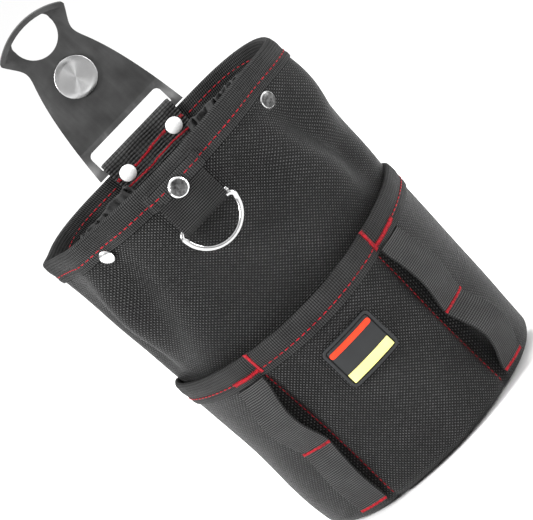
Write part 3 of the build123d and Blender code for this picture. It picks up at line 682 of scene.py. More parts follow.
def turned(profile: list[tuple[float, float]], seats: list[Matrix], steps: int = 40) -> Mesh:
    """Round shapes made by spinning a profile of (radius, height) about each seat's z."""
    mesh = bmesh.new()
    weave = mesh.loops.layers.uv.verify()
    for seat in seats:
        points = [mesh.verts.new((radius, 0, height)) for radius, height in profile]
        edges = [mesh.edges.new(pair) for pair in zip(points, points[1:])]
        known = set(mesh.verts) - set(points)
        bmesh.ops.spin(mesh, geom=points + edges, cent=(0, 0, 0), axis=(0, 0, 1), angle=2 * pi, steps=steps,
                       use_merge=True)
        fresh = [vert for vert in mesh.verts if vert not in known]
        bmesh.ops.remove_doubles(mesh, verts=fresh, dist=0.001 * MM)
        fresh = [vert for vert in mesh.verts if vert not in known]
        for face in {face for vert in fresh for face in vert.link_faces}:
            for loop in face.loops:
                loop[weave].uv = (hypot(loop.vert.co.x, loop.vert.co.y), loop.vert.co.z)
        bmesh.ops.transform(mesh, matrix=seat, verts=fresh)
    bmesh.ops.recalc_face_normals(mesh, faces=mesh.faces)
    return mesh


@dataclass(frozen=True)
class Stitch:
    """Sizes of one kind of stitch: its length, the step to the next one and the thread's radius."""

    length: float = 2.9 * MM
    step: float = 3.7 * MM
    radius: float = 0.36 * MM


@dataclass
class Sewing:
    """Red thread in one mesh, laid as single stitches or packed into bar tacks."""

    chance: Random
    mesh: Mesh = field(default_factory=bmesh.new)

    def lay(self, middle: Vector, run: Vector, out: Vector, length: float, radius: float) -> None:
        """Add one stitch: a small rounded run of thread, half sunk."""
        seat = seat_at(middle, run, out.cross(run))
        size = Matrix.Diagonal((length / 2, radius, radius, 1.0))
        turn = Matrix.Rotation(pi / 2, 4, "Y")
        bmesh.ops.create_uvsphere(self.mesh, u_segments=8, v_segments=5, radius=1.0,
                                  matrix=seat @ size @ turn)

    def row(self, path: Path, start: float, end: float, stitch: Stitch = Stitch()) -> None:
        """Add a row of stitches along a path."""
        chance = self.chance
        count = max(int(round(abs(end - start) / stitch.step)), 1)
        step = (end - start) / count
        for index in range(count):
            middle = start + (index + 0.5) * step
            spot, out = path(middle)
            run = path(middle + step / 4)[0] - path(middle - step / 4)[0]
            wander = Vector((chance.uniform(-1, 1), chance.uniform(-1, 1), chance.uniform(-1, 1)))
            run = run.normalized() + 0.04 * wander
            self.lay(spot, run, out, stitch.length * chance.uniform(0.93, 1.04), stitch.radius)

    def bar(self, path: Path, start: float, end: float, width: float) -> None:
        """Add a bar tack: thread wrapped closely across the path, a little thicker at its ends."""
        chance = self.chance
        pitch = 0.46 * MM
        count = max(int(abs(end - start) / pitch), 2)
        for index in range(count + 1):
            middle = between(start, end, index / count)
            spot, out = path(middle)
            run = (path(middle + pitch)[0] - path(middle - pitch)[0]).normalized()
            across = out.cross(run)
            lean = across + 0.22 * run * (1 if index % 2 else -1) + 0.1 * run * chance.uniform(-1, 1)
            end_swell = 1.0 + 0.18 * exp(-min(index, count - index) / 1.6)
            self.lay(spot + across * chance.uniform(-0.12, 0.12) * MM, lean, out,
                     width * end_swell * chance.uniform(0.9, 1.08), 0.33 * MM)


# ---------------------------------------------------------------- body of the pouch
@dataclass
class Body:
    """The bucket of woven nylon with its base, its linings and its seams."""

    top: float = 212.0 * MM
    cloth: float = 1.4 * MM
    floor: float = 2.4 * MM
    edge_round: float = 8.0 * MM
    seam_low: float = 12.0 * MM
    seam_high: float = 198.4 * MM
    seam_face: float = 1.2 * MM
    back_edge: float = 31.3 * MM
    columns: int = 300
    rows: int = 96

    def __post_init__(self) -> None:
        """The wall that everything on the body is laid on."""
        self.wall = Wall(
            low=self.floor, high=220.0 * MM, half_width=(67.5 * MM, 82.5 * MM), front=(43.0 * MM, 56.5 * MM),
            rear=(48.0 * MM, 48.0 * MM), rear_flat=38.0 * MM, ripple=1.1 * MM,
            folds=(
                Fold(-0.1115, 0.216, 0.042, 0.0075, 0, 0.0034),
                Fold(-0.1115, 0.216, 0.036, 0.030, 0, -0.0056),
                Fold(-0.0860, 0.205, 0.030, 0.012, 4, -0.0020),
                Fold(-0.140, 0.214, 0.040, 0.016, -4, -0.0014),
                Fold(0.1115, 0.214, 0.020, 0.028, 0, -0.0014),
                Fold(0.112, 0.160, 0.050, 0.045, 0, 0.0030),
                Fold(-0.106, 0.018, 0.036, 0.045, 0, 0.0040),
                Fold(-0.0600, 0.176, 0.034, 0.010, 14, -0.0057),
                Fold(-0.0800, 0.170, 0.036, 0.009, 10, 0.0044),
                Fold(-0.0960, 0.150, 0.036, 0.010, -8, -0.0057),
                Fold(0.0740, 0.168, 0.034, 0.011, -20, -0.0068),
                Fold(0.0540, 0.160, 0.034, 0.010, -22, 0.0037),
                Fold(0.0960, 0.176, 0.036, 0.010, 8, 0.0030),
                Fold(0.0860, 0.140, 0.030, 0.012, 30, -0.0044),
                Fold(0.0270, 0.158, 0.034, 0.012, 18, -0.0037),
                Fold(-0.0260, 0.140, 0.030, 0.013, -16, -0.0034),
                Fold(-0.0560, 0.130, 0.022, 0.012, 40, 0.0024),
            ),
            dips=(
                Fold(0.108, 0.222, 0.045, 0.034, 0, -0.0026),
                Fold(-0.108, 0.222, 0.040, 0.030, 0, -0.0010),
                Fold(0.0, 0.213, 0.040, 0.060, 0, -0.0014),
            ),
        )

    def around(self, share: float, height: float) -> float:
        """Distance along the wall for a share of the way round, from the middle of the back."""
        return (2 * share - 1) * self.wall.half_girth(height)

    def bag(self) -> None:
        """The bucket: a floor, a rounded corner all round it, and the wall, in one lofted cloth."""
        floor_rows = 8
        corner_rows = 8
        wall_low = self.floor + self.edge_round
        height = self.top - self.floor
        middle = Vector((0, 2 * MM, self.floor))

        def place(across: float, up: float) -> Vector:
            """Floor first, then the corner, then the wall."""
            row = up * self.rows
            if row < floor_rows:
                edge = self.wall.place(self.around(across, wall_low), self.floor, -self.edge_round)
                return middle.lerp(edge, row / floor_rows)
            if row < floor_rows + corner_rows:
                turn = pi / 2 * (row - floor_rows) / corner_rows
                level = self.floor + self.edge_round * (1 - cos(turn))
                inset = -self.edge_round * (1 - sin(turn))
                return self.wall.place(self.around(across, wall_low), level, inset)
            share = (row - floor_rows - corner_rows) / (self.rows - floor_rows - corner_rows)
            level = between(wall_low, self.top, share)
            return self.wall.place(self.around(across, level), level)

        size = (2 * self.wall.half_girth(120 * MM), height * 1.2)
        bag = Cloth(NYLON, "pouch_fabric", self.cloth, joined=True)
        bag.lay("body_cloth", (self.columns, self.rows), place, size, "body_shell")

    def base(self) -> None:
        """The coated panel that the pouch stands on, with a rounded edge."""
        mesh = self.plate_under(inset=7.0 * MM, low=0.0, thickness=2.2 * MM, rounding=1.0 * MM)
        piece_from(mesh, "base_panel_coated", COATED, "root", "pouch_fabric", "base_panel")

    def plate_under(self, inset: float, low: float, thickness: float, rounding: float) -> Mesh:
        """D-shaped plate that follows the wall's foot."""
        mesh = bmesh.new()
        bmesh.ops.create_circle(mesh, cap_ends=True, segments=160, radius=1.0)
        level = self.floor
        girth = self.wall.half_girth(level)
        flat = replace(self.wall, folds=(), dips=(), ripple=0.0)
        for vert in mesh.verts:
            along = girth * atan2(vert.co.x, -vert.co.y) / pi
            vert.co = flat.place(along, level, -inset)
            vert.co.z = low
        pull_up(mesh, thickness)
        ease_edges(mesh, 60, rounding)
        return mesh

    def linings(self) -> None:
        """Cloth over the floor's board and over the back's board."""
        low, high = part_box("base_lining")
        mesh = self.plate_under(inset=4.2 * MM, low=low.z, thickness=high.z - low.z, rounding=0.3 * MM)
        piece_from(mesh, "base_lining_cloth", LINING, "root", "lining_cloth", "base_lining")
        low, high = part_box("back_lining")

        def place(across: float, up: float) -> Vector:
            """A flat panel with shallow waves between its seams."""
            x = between(low.x, high.x, across)
            z = between(low.z, high.z, up)
            wave = 0.5 * MM * noise.noise(Vector((x, 0.3, z)) / (22 * MM)) * sin(pi * across)
            return Vector((x, low.y - 0.3 * MM + wave, z))

        size = (high.x - low.x, high.z - low.z)
        lining = Cloth(LINING, "lining_cloth", 0.6 * MM)
        piece = lining.lay("back_lining_cloth", (40, 90), place, size, "back_lining")

    def back(self) -> None:
        """The outer layer of the back, between the side seams."""
        low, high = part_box("back_panel")
        middle = 100 * MM
        edge = self.wall.along_side(self.back_edge, middle)

        def place(across: float, up: float) -> Vector:
            """From one side seam round the back to the other, seen from behind."""
            level = between(low.z, high.z, up)
            girth = self.wall.half_girth(level)
            reach = girth - self.wall.along_side(self.back_edge, level)
            run = (2 * across - 1) * reach
            along = run + girth if run < 0 else run - girth
            puff = 0.4 * MM * sin(pi * up) * cos(pi * (across - 0.5))
            return self.wall.place(along, level, 1.5 * MM + puff)

        size = (2 * (self.wall.half_girth(middle) - edge), high.z - low.z)
        panel = Cloth(NYLON, "pouch_fabric", 1.3 * MM, rounding=0.3 * MM)
        piece = panel.lay("back_panel_cloth", (70, 60), place, size, "back_panel")

    def side_seams(self, sewing: Sewing) -> None:
        """Ribbed tape down each side seam, with its two rows of thread."""
        front, rear = 21.3 * MM, 31.0 * MM
        size = (rear - front, self.seam_high - self.seam_low)
        tape = Cloth(TAPE, "binding_tape", 0.9 * MM, rounding=0.25 * MM, strip=True)
        for hand, name in ((-1, "left"), (1, "right")):

            def place(across: float, up: float, hand: int = hand) -> Vector:
                """A strip that follows the side arc between two depths."""
                level = between(self.seam_low, self.seam_high, up)
                y = between(front, rear, across if hand > 0 else 1 - across)
                crown = 0.35 * MM * sin(pi * across)
                return self.wall.place(hand * self.wall.along_side(y, level), level, self.seam_face + crown)

            tape.lay(f"side_binding_{name}_tape", (10, 110), place, size, f"side_binding_{name}")
            for y in (front + 1.8 * MM, rear - 1.8 * MM):
                path = self.wall.column(lambda level, y=y, hand=hand: hand * self.wall.along_side(y, level),
                                        self.seam_face + 0.35 * MM)
                sewing.row(path, self.seam_low + 2 * MM, self.seam_high - 2 * MM)

    def inner_pocket(self, sewing: Sewing) -> None:
        """A flat pocket of lining cloth against the inside of the front, with a turned hem."""
        low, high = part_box("inner_pocket")
        half = self.wall.along_at(65.5 * MM, 180 * MM)

        def place(across: float, up: float) -> Vector:
            """Sewn at its sides and foot, a little slack between, and thicker at its hem."""
            level = between(low.z, high.z, up)
            slack = 1.1 * MM * sin(pi * across) ** 0.5 * smooth(up, 0.0, 0.25)
            hem = 0.25 * MM * smooth(up, 0.93, 0.94)
            wave = 0.5 * MM * sin(9 * across + 2 * up) * smooth(up, 0.3, 1.0)
            return self.wall.place((2 * across - 1) * half, level, -2.5 * MM - slack - wave - hem)

        size = (2 * half, high.z - low.z)
        lining = Cloth(LINING, "lining_cloth", 0.9 * MM, offset=1.0, inward=True)
        piece = lining.lay("inner_pocket_cloth", (90, 60), place, size, "inner_pocket")
        path = self.wall.row(lambda along: high.z - 6 * MM, -4.9 * MM)
        sewing.row(path, -half + 4 * MM, half - 4 * MM)


# ---------------------------------------------------------------- outer pocket
@dataclass
class OuterPocket:
    """The wrap-round pocket with its bound scooped edge and its two dividing seams."""

    middle_top: float = 111.2 * MM
    lean: float = 0.006
    scoop: float = 1.08
    seam_y: float = 21.0 * MM
    edge_round: float = 9.0 * MM
    cloth: float = 1.4 * MM
    tape: float = 0.9 * MM
    tape_depth: float = 14.0 * MM
    division: float = 42.0 * MM
    flat_height: float = 128.0 * MM
    columns: int = 260
    rows: int = 80

    def __post_init__(self) -> None:
        """The wall that everything on the pocket is laid on."""
        self.wall = Wall(
            low=0.0, high=125.0 * MM, half_width=(71.0 * MM, 79.0 * MM), front=(47.0 * MM, 60.0 * MM),
            rear=(51.5 * MM, 51.5 * MM), rear_flat=38.0 * MM, ripple=0.55 * MM,
            folds=(
                Fold(-0.0450, 0.048, 0.060, 0.0036, 0, -0.0036),
                Fold(0.0450, 0.048, 0.060, 0.0036, 0, -0.0036),
                Fold(-0.106, 0.018, 0.036, 0.045, 0, 0.0040),
                Fold(0.0, 0.045, 0.045, 0.026, 0, 0.0010),
                Fold(-0.066, 0.055, 0.030, 0.014, 0, -0.0008),
                Fold(-0.092, 0.045, 0.035, 0.018, 6, 0.0012),
                Fold(0.092, 0.050, 0.035, 0.018, -6, 0.0012),
                Fold(0.030, 0.085, 0.020, 0.010, 24, -0.0008),
                Fold(-0.030, 0.083, 0.020, 0.010, -24, -0.0008),
            ),
        )

    def tuck(self, height: float) -> float:
        """How far the rounded foot draws the cloth in at a height."""
        below = max(self.edge_round - height, 0.0)
        return (self.edge_round**2 - below**2) ** 0.5 - self.edge_round

    def top_at(self, along: float) -> float:
        """Height of the cloth's top edge at a distance along the wall."""
        x = self.wall.place(along, self.middle_top).x
        return self.middle_top + self.lean * x + self.scoop * x * x

    def side_end(self, height: float) -> float:
        """Distance along at which the pocket ends in the side seam."""
        return self.wall.along_side(self.seam_y - 0.4 * MM, height)

    def along_at(self, share: float, height: float) -> float:
        """Distance along for a share across the whole pocket."""
        return (2 * share - 1) * self.side_end(height)

    def panel(self) -> None:
        """The pocket's cloth, turned under at its foot."""
        foot_rows = 4
        corner_rows = 9
        foot = 7.4 * MM
        lift = 0.25 * MM

        def place(across: float, up: float) -> Vector:
            """The foot under the base, the corner, then the wall up to the scooped edge."""
            row = up * self.rows
            edge = self.along_at(across, self.edge_round)
            if row < foot_rows:
                return self.wall.place(edge, lift, -self.edge_round - foot * 0.1 * (foot_rows - row))
            if row < foot_rows + corner_rows:
                turn = pi / 2 * (row - foot_rows) / corner_rows
                level = lift + (self.edge_round - lift) * (1 - cos(turn))
                return self.wall.place(edge, level, -self.edge_round * (1 - sin(turn)))
            share = (row - foot_rows - corner_rows) / (self.rows - foot_rows - corner_rows)
            level = between(self.edge_round, self.top_at(self.along_at(across, self.middle_top)), share)
            return self.wall.place(self.along_at(across, level), level)

        size = (2 * self.side_end(60 * MM), self.flat_height)
        panel = Cloth(NYLON, "pouch_fabric", self.cloth)
        piece = panel.lay("front_pocket_cloth", (self.columns, self.rows), place, size, "front_pocket")

    def binding(self) -> None:
        """Ribbed tape folded over the scooped edge."""
        inner = -self.cloth - 0.25 * MM - self.tape
        section = folded_section(0.1 * MM + self.tape, inner, 1.1 * MM, -self.tape_depth,
                                 -self.tape_depth + 0.5 * MM)

        def place(across: float, up: float) -> Vector:
            """The tape's section carried along the edge, puffed between its edge and its seam."""
            along = self.along_at(across, self.middle_top)
            out, drop = section_walk(section, up)
            side = 1 if out > -0.5 * self.cloth else -1
            puff = 0.45 * MM * sin(pi * smooth(-drop, 0.0, 9.5 * MM)) + 0.25 * MM * sin(
                pi * smooth(-drop, 9.9 * MM, 14 * MM))
            ripple = 0.18 * MM * noise.noise(Vector((along, drop, 7 * MM)) / (9 * MM))
            return self.wall.place(along, self.top_at(along) + drop, out + side * (puff + ripple))

        size = (2 * self.side_end(self.middle_top), TAPE_WIDTH)
        tape = Cloth(TAPE, "binding_tape", self.tape, rounding=0.2 * MM)
        tape.lay("pocket_binding_tape", (300, 34), place, size, "pocket_binding")

    def seams(self, sewing: Sewing) -> None:
        """The binding's row and the two dividing rows."""
        end = self.side_end(self.middle_top) - 1.5 * MM
        face = self.tape + 0.25 * MM
        drop = self.tape_depth - 4.4 * MM
        path = self.wall.row(lambda along: self.top_at(along) - drop, face)
        sewing.row(path, -end, end)
        close = Stitch(2.3 * MM, 2.9 * MM, 0.3 * MM)
        for hand in (-1, 1):

            def path(height: float, hand: int = hand) -> tuple[Vector, Vector]:
                """Up the dividing row, which comes in a little towards its foot, and round that foot."""
                x = self.division - 1.6 * MM * (1 - smooth(height, 0.0, 100 * MM))
                along = self.wall.along_at(hand * x, height)
                return self.wall.facing(along, height, 0.1 * MM + self.tuck(height))

            top = self.top_at(hand * self.division) - self.tape_depth
            sewing.row(path, 5.5 * MM, top, close)

    def tacks(self, sewing: Sewing) -> None:
        """Bar tacks on the binding: upright at each dividing seam, and level over each tool loop."""
        face = self.tape + 0.55 * MM
        width = 2.7 * MM
        drop = 9.8 * MM
        level = self.wall.row(lambda along: self.top_at(along) - drop, face)
        for start, end in ((-61.0 * MM, -44.5 * MM), (47.0 * MM, 66.0 * MM)):
            sewing.bar(level, start, end, width)
        for hand in (-1, 1):
            along = self.wall.along_at(hand * self.division + 1.2 * MM, self.middle_top)
            top = self.top_at(along)
            path = self.wall.column(lambda height, along=along: along, face)
            sewing.bar(path, top - 11.4 * MM, top + 1.2 * MM, width)


@dataclass
class ToolLoop:
    """A strip of worn webbing sewn down at its top, middle and foot, so that it stands off as two arches."""

    pocket: OuterPocket
    name: str
    x: float
    top: float
    middle: float
    upper_bulge: float
    lower_bulge: float
    skew: float
    foot: float = 6.2 * MM
    pad: float = 3.0 * MM
    width: float = 20.0 * MM
    webbing: float = 1.6 * MM
    stand: float = 0.35 * MM

    def __post_init__(self) -> None:
        """The strip's directions: out of the wall and along it."""
        wall = self.pocket.wall
        seat = wall.seat(wall.along_at(self.x, self.foot), self.foot)
        self.out = Vector((seat.col[2].x, seat.col[2].y, 0)).normalized()
        self.across = Vector((-self.out.y, self.out.x, 0))

    def arch(self, height: float) -> float:
        """How far the strip stands off the line between its sewn places."""
        spans = ((self.foot + self.pad, self.middle - self.pad / 2, self.lower_bulge),
                 (self.middle + self.pad / 2, self.top - self.pad, self.upper_bulge))
        for low, high, bulge in spans:
            if low < height < high:
                return bulge * sin(pi * (height - low) / (high - low)) ** 1.15
        return 0.0

    def point(self, side: float, height: float, out: float) -> Vector:
        """Point of the strip: side is from its middle, out is from its inner face."""
        wall = self.pocket.wall
        base = wall.place(wall.along_at(self.x, height), height, self.stand + self.pocket.tuck(height))
        dish = -0.9 * MM * (2 * side / self.width) ** 2
        return base + self.out * (self.arch(height) + out + dish) + self.across * side

    def strip(self) -> None:
        """The webbing, crowned across its width."""

        def place(across: float, up: float) -> Vector:
            """Outer face, from edge to edge and from the foot up."""
            height = between(self.foot, self.top, up)
            edge = 0.25 * MM * noise.noise(Vector((height, self.x, 0)) / (6 * MM))
            side = (across - 0.5) * (self.width + edge)
            return self.point(side, height, self.webbing)

        webbing = Cloth(LOOP_WEBBING, "loop_webbing", self.webbing, rounding=0.35 * MM, strip=True)
        webbing.lay(f"tool_loop_{self.name}_webbing", (14, 130), place, (self.width, 95 * MM),
                    f"tool_loop_{self.name}")

    def tacks(self, sewing: Sewing) -> None:
        """Bar tacks across the strip's middle and foot, each a little askew."""
        for height, half, skew in ((self.middle, 9.9 * MM, self.skew),
                                   (self.foot + self.pad / 2, 9.6 * MM, -0.02)):

            def path(side: float, height: float = height, skew: float = skew) -> tuple[Vector, Vector]:
                """Across the strip's face."""
                return self.point(side, height + skew * side, self.webbing + 0.15 * MM), self.out

            sewing.bar(path, -half, half, 1.7 * MM)


# ---------------------------------------------------------------- label patch
@dataclass
class LabelPatch:
    """Moulded rubber patch with a raised rim and two plain bars."""

    pocket: OuterPocket
    x: float = 1.3 * MM
    height: float = 75.2 * MM
    width: float = 31.8 * MM
    tall: float = 25.8 * MM
    corner: float = 3.2 * MM
    rim: float = 1.5 * MM

    def slab(self, middle: tuple[float, float], size: tuple[float, float], corner: float, low: float,
             high: float, rounding: float, recess: float = 0.0) -> Mesh:
        """Rounded slab laid on the pocket's wall.

        Args:
            middle: Its middle, from the patch's own middle.
            size: Its width and height.
            corner: Radius of its corners.
            low: Distance of its back from the wall.
            high: Distance of its face from the wall.
            rounding: Radius of its edges.
            recess: Depth of the field inside the rim, or 0.

        Returns:
            The finished mesh.
        """
        mesh = bmesh.new()
        bmesh.ops.create_grid(mesh, x_segments=1, y_segments=1, size=0.5)
        bmesh.ops.scale(mesh, vec=(size[0], size[1], 1), verts=mesh.verts)
        bmesh.ops.bevel(mesh, geom=list(mesh.verts), offset=corner, offset_type="OFFSET", segments=6,
                        profile=0.5, affect="VERTICES", material=-1)
        pull_up(mesh, high - low)
        top = max(mesh.faces, key=lambda face: face.calc_center_median().z)
        if recess:
            for thickness, depth in ((self.rim, 0.0), (0.15 * MM, -1.4 * recess), (0.45 * MM, 0.0),
                                     (0.15 * MM, 0.7 * recess)):
                bmesh.ops.inset_region(mesh, faces=[top], thickness=thickness, depth=depth)
        ease_edges(mesh, 35, rounding, 2)
        for step in range(1, 12):
            cut = between(-size[0] / 2, size[0] / 2, step / 12)
            bmesh.ops.bisect_plane(mesh, geom=[*mesh.verts, *mesh.edges, *mesh.faces], plane_co=(cut, 0, 0),
                                   plane_no=(1, 0, 0), dist=0.001 * MM)
        wall = self.pocket.wall
        for vert in mesh.verts:
            side, up, out = vert.co
            along = wall.along_at(self.x + middle[0] + side, self.height)
            vert.co = wall.place(along, self.height + middle[1] + up, low + out)
        return mesh

    def make(self) -> None:
        """The patch, its two bars and the channel round them."""
        mesh = self.slab((0, 0), (self.width, self.tall), self.corner, 0.15 * MM, 2.0 * MM, 0.3 * MM,
                         recess=0.7 * MM)
        piece_from(mesh, "label_patch_rubber", PATCH_BLACK, "root", "patch_rubber", "label_patch")
        for name, up, tall, corner, material in (("red", 7.6 * MM, 3.2 * MM, 1.4 * MM, PATCH_RED),
                                                 ("yellow", -7.9 * MM, 5.6 * MM, 0.3 * MM, PATCH_YELLOW)):
            mesh = self.slab((0, up), (27.2 * MM, tall), corner, 1.2 * MM, 1.85 * MM, 0.15 * MM)
            piece_from(mesh, f"patch_{name}_bar_rubber", material, "root", f"patch_{name}",
                       f"patch_{name}_bar")


# ---------------------------------------------------------------- mouth
@dataclass
class Mouth:
    """The bound rim of the pouch, its seam, the gathered lining behind it and the two rim rivets."""

    pouch: Body
    top: float = 213.2 * MM
    depth: float = 15.4 * MM
    tape: float = 0.9 * MM
    seam_drop: float = 10.6 * MM
    tab_x: float = -3.0 * MM
    tab_half: float = 15.6 * MM
    tab_bump: float = 3.2 * MM

    def bump(self, along: float, drop: float) -> float:
        """How far the tape stands out over the ring tab's sewn end."""
        side = 1 - smooth(abs(along - self.tab_x), self.tab_half, self.tab_half + 2.5 * MM)
        return self.tab_bump * side * smooth(-drop, 5.0 * MM, 7.4 * MM)

    def puff(self, drop: float) -> float:
        """How far the tape swells between its fold and its seam, and under its seam."""
        upper = 0.5 * MM * sin(pi * smooth(-drop, 0.0, self.seam_drop))
        return upper + 0.3 * MM * sin(pi * smooth(-drop, self.seam_drop, self.depth))

    def face(self, along: float, drop: float) -> float:
        """Distance of the tape's outer face from the body's wall."""
        return self.tape + 0.15 * MM + self.bump(along, drop) + self.puff(drop)

    def binding(self) -> None:
        """Ribbed tape folded over the rim, all the way round."""
        wall = self.pouch.wall
        outer, inner = self.tape + 0.15 * MM, -self.pouch.cloth - 0.1 * MM - self.tape
        section = folded_section(outer, inner, 0.0, -self.depth, -self.depth + 2.0 * MM, 10)

        def place(across: float, up: float) -> Vector:
            """The tape's section carried round the mouth."""
            along = self.pouch.around(across, self.top)
            out, drop = section_walk(section, up)
            outside = out > (outer + inner) / 2
            swell = self.puff(drop) + 0.15 * MM * noise.noise(Vector((along, drop, 3 * MM)) / (8 * MM))
            reach = out + (swell + self.bump(along, drop) if outside else -0.8 * swell)
            rear_flat = smooth(abs(along), 0.150, 0.175)
            reach = between(reach, out, rear_flat)
            return wall.place(along, self.top + drop, reach)

        size = (2 * wall.half_girth(self.top), TAPE_WIDTH)
        tape = Cloth(TAPE, "binding_tape", self.tape, rounding=0.2 * MM, joined=True)
        tape.lay("rim_binding_tape", (460, 40), place, size, "rim_binding")

    def seam(self, sewing: Sewing) -> None:
        """The row of stitches that holds the binding, outside and inside."""
        wall = self.pouch.wall
        end = wall.half_girth(self.top) - 1 * MM
        strap_half = 27 * MM
        rivet_half = 5.8 * MM

        def drop(along: float) -> float:
            """The row climbs towards the rim behind the mouth's corners."""
            return between(self.seam_drop, 6.6 * MM, smooth(abs(along), 0.115, 0.165))

        def outside(along: float) -> tuple[Vector, Vector]:
            """The outer row, carried over the ring tab's bump."""
            face = self.face(along, -drop(along)) - 0.02 * MM - 0.4 * MM * smooth(abs(along), 0.150, 0.175)
            return wall.facing(along, self.top - drop(along), face)

        def inside(along: float) -> tuple[Vector, Vector]:
            """The inner row, which faces into the pouch."""
            spot, out = wall.facing(along, self.top - drop(along), -self.pouch.cloth - 0.15 * MM - self.tape)
            return spot, -out

        sewing.row(outside, -end, self.tab_x - rivet_half)
        sewing.row(outside, self.tab_x + rivet_half, end)
        sewing.row(inside, -end + strap_half, end - strap_half)

    def gathered_hem(self) -> None:
        """The lining's gathered top hem, which shows below the rim tape inside the back."""
        wall = self.pouch.wall
        span, strap_side = 100 * MM, 24 * MM
        width = span - strap_side
        low, high = 184.0 * MM, 203.5 * MM
        start = wall.half_girth(self.top) - span
        for hand, name in ((-1, "left"), (1, "right")):

            def place(across: float, up: float, hand: int = hand) -> Vector:
                """Deep uneven gathers that die out towards the cloth below."""
                share = across if hand > 0 else 1 - across
                along = hand * (start + share * width)
                level = between(low, high, up)
                spot = Vector((share * 9.0, 0.4 * up, hand * 3.0))
                gather = sin(60 * share + 7 * noise.noise(spot))
                crush = noise.noise(Vector((share * 30, up * 3, hand)))
                depth = (1.7 * gather + 2.2 * crush) * MM * smooth(up, 0.0, 0.5)
                top = 1.6 * MM * noise.noise(Vector((share * 14, 1.5, hand))) * up
                return wall.place(along, level + top, -6.2 * MM + depth)

            size = (1.3 * width, high - low)
            hem = Cloth(LINING, "lining_cloth", 0.5 * MM, offset=0.0, inward=True)
            piece = hem.lay(f"lining_hem_{name}", (220, 22), place, size)

    def rivets(self) -> None:
        """The two rivets below the rim, with their washers inside."""
        wall = self.pouch.wall
        for side, x, height, turn, material, nodes in (
                ("left", -55.4 * MM, 197.0 * MM, -20, NICKEL, ("rim_rivet_caps", "rim_rivet_backs")),
                ("right", 60.3 * MM, 193.0 * MM, -12, NICKEL_WORN, ())):
            along = wall.along_at(x, height)
            front = wall.seat(along, height, 0.5 * MM) @ Matrix.Rotation(radians(turn), 4, "Y")
            back = wall.seat(along, height, WASHER_DEPTH) @ Matrix.Rotation(pi, 4, "X")
            name = f"rim_rivet_{side}"
            set_rivets((name, f"{name}_washer"), 4.9 * MM, material, [front], [back], nodes)


def rivet_profile(radius: float) -> list[tuple[float, float]]:
    """Half section of a domed cap: a bright shoulder round a flatter middle."""
    height = 1.9 * MM
    dome = [(radius * share, height * (1 - share**2.6) ** 0.8 + 0.12 * MM)
            for share in (0.93, 0.86, 0.76, 0.64, 0.5, 0.34, 0.17, 0.0)]
    return [(0.0, -0.6 * MM), (radius * 0.9, -0.6 * MM), (radius, -0.2 * MM), (radius, 0.15 * MM), *dome]


WASHER_DEPTH = -6.4 * MM
WASHER = [(across * MM, up * MM) for across, up in (
    (0.0, -0.6), (4.3, -0.6), (4.4, -0.2), (4.2, 0.35), (2.6, 0.45), (2.2, 1.0), (1.5, 1.15), (0.8, 0.7),
    (0.0, 0.6))]


def set_rivets(names: tuple[str, str], radius: float, material: Material, fronts: list[Matrix],
               backs: list[Matrix], nodes: tuple[str, ...] = ()) -> None:
    """Caps of a radius in front and their washers behind, which stand for one CAD node each."""
    piece_from(turned(rivet_profile(radius), fronts), names[0], material, "root", "rivet_metal", *nodes[:1])
    piece_from(turned(WASHER, backs), names[1], NICKEL, "root", "rivet_metal", *nodes[1:])


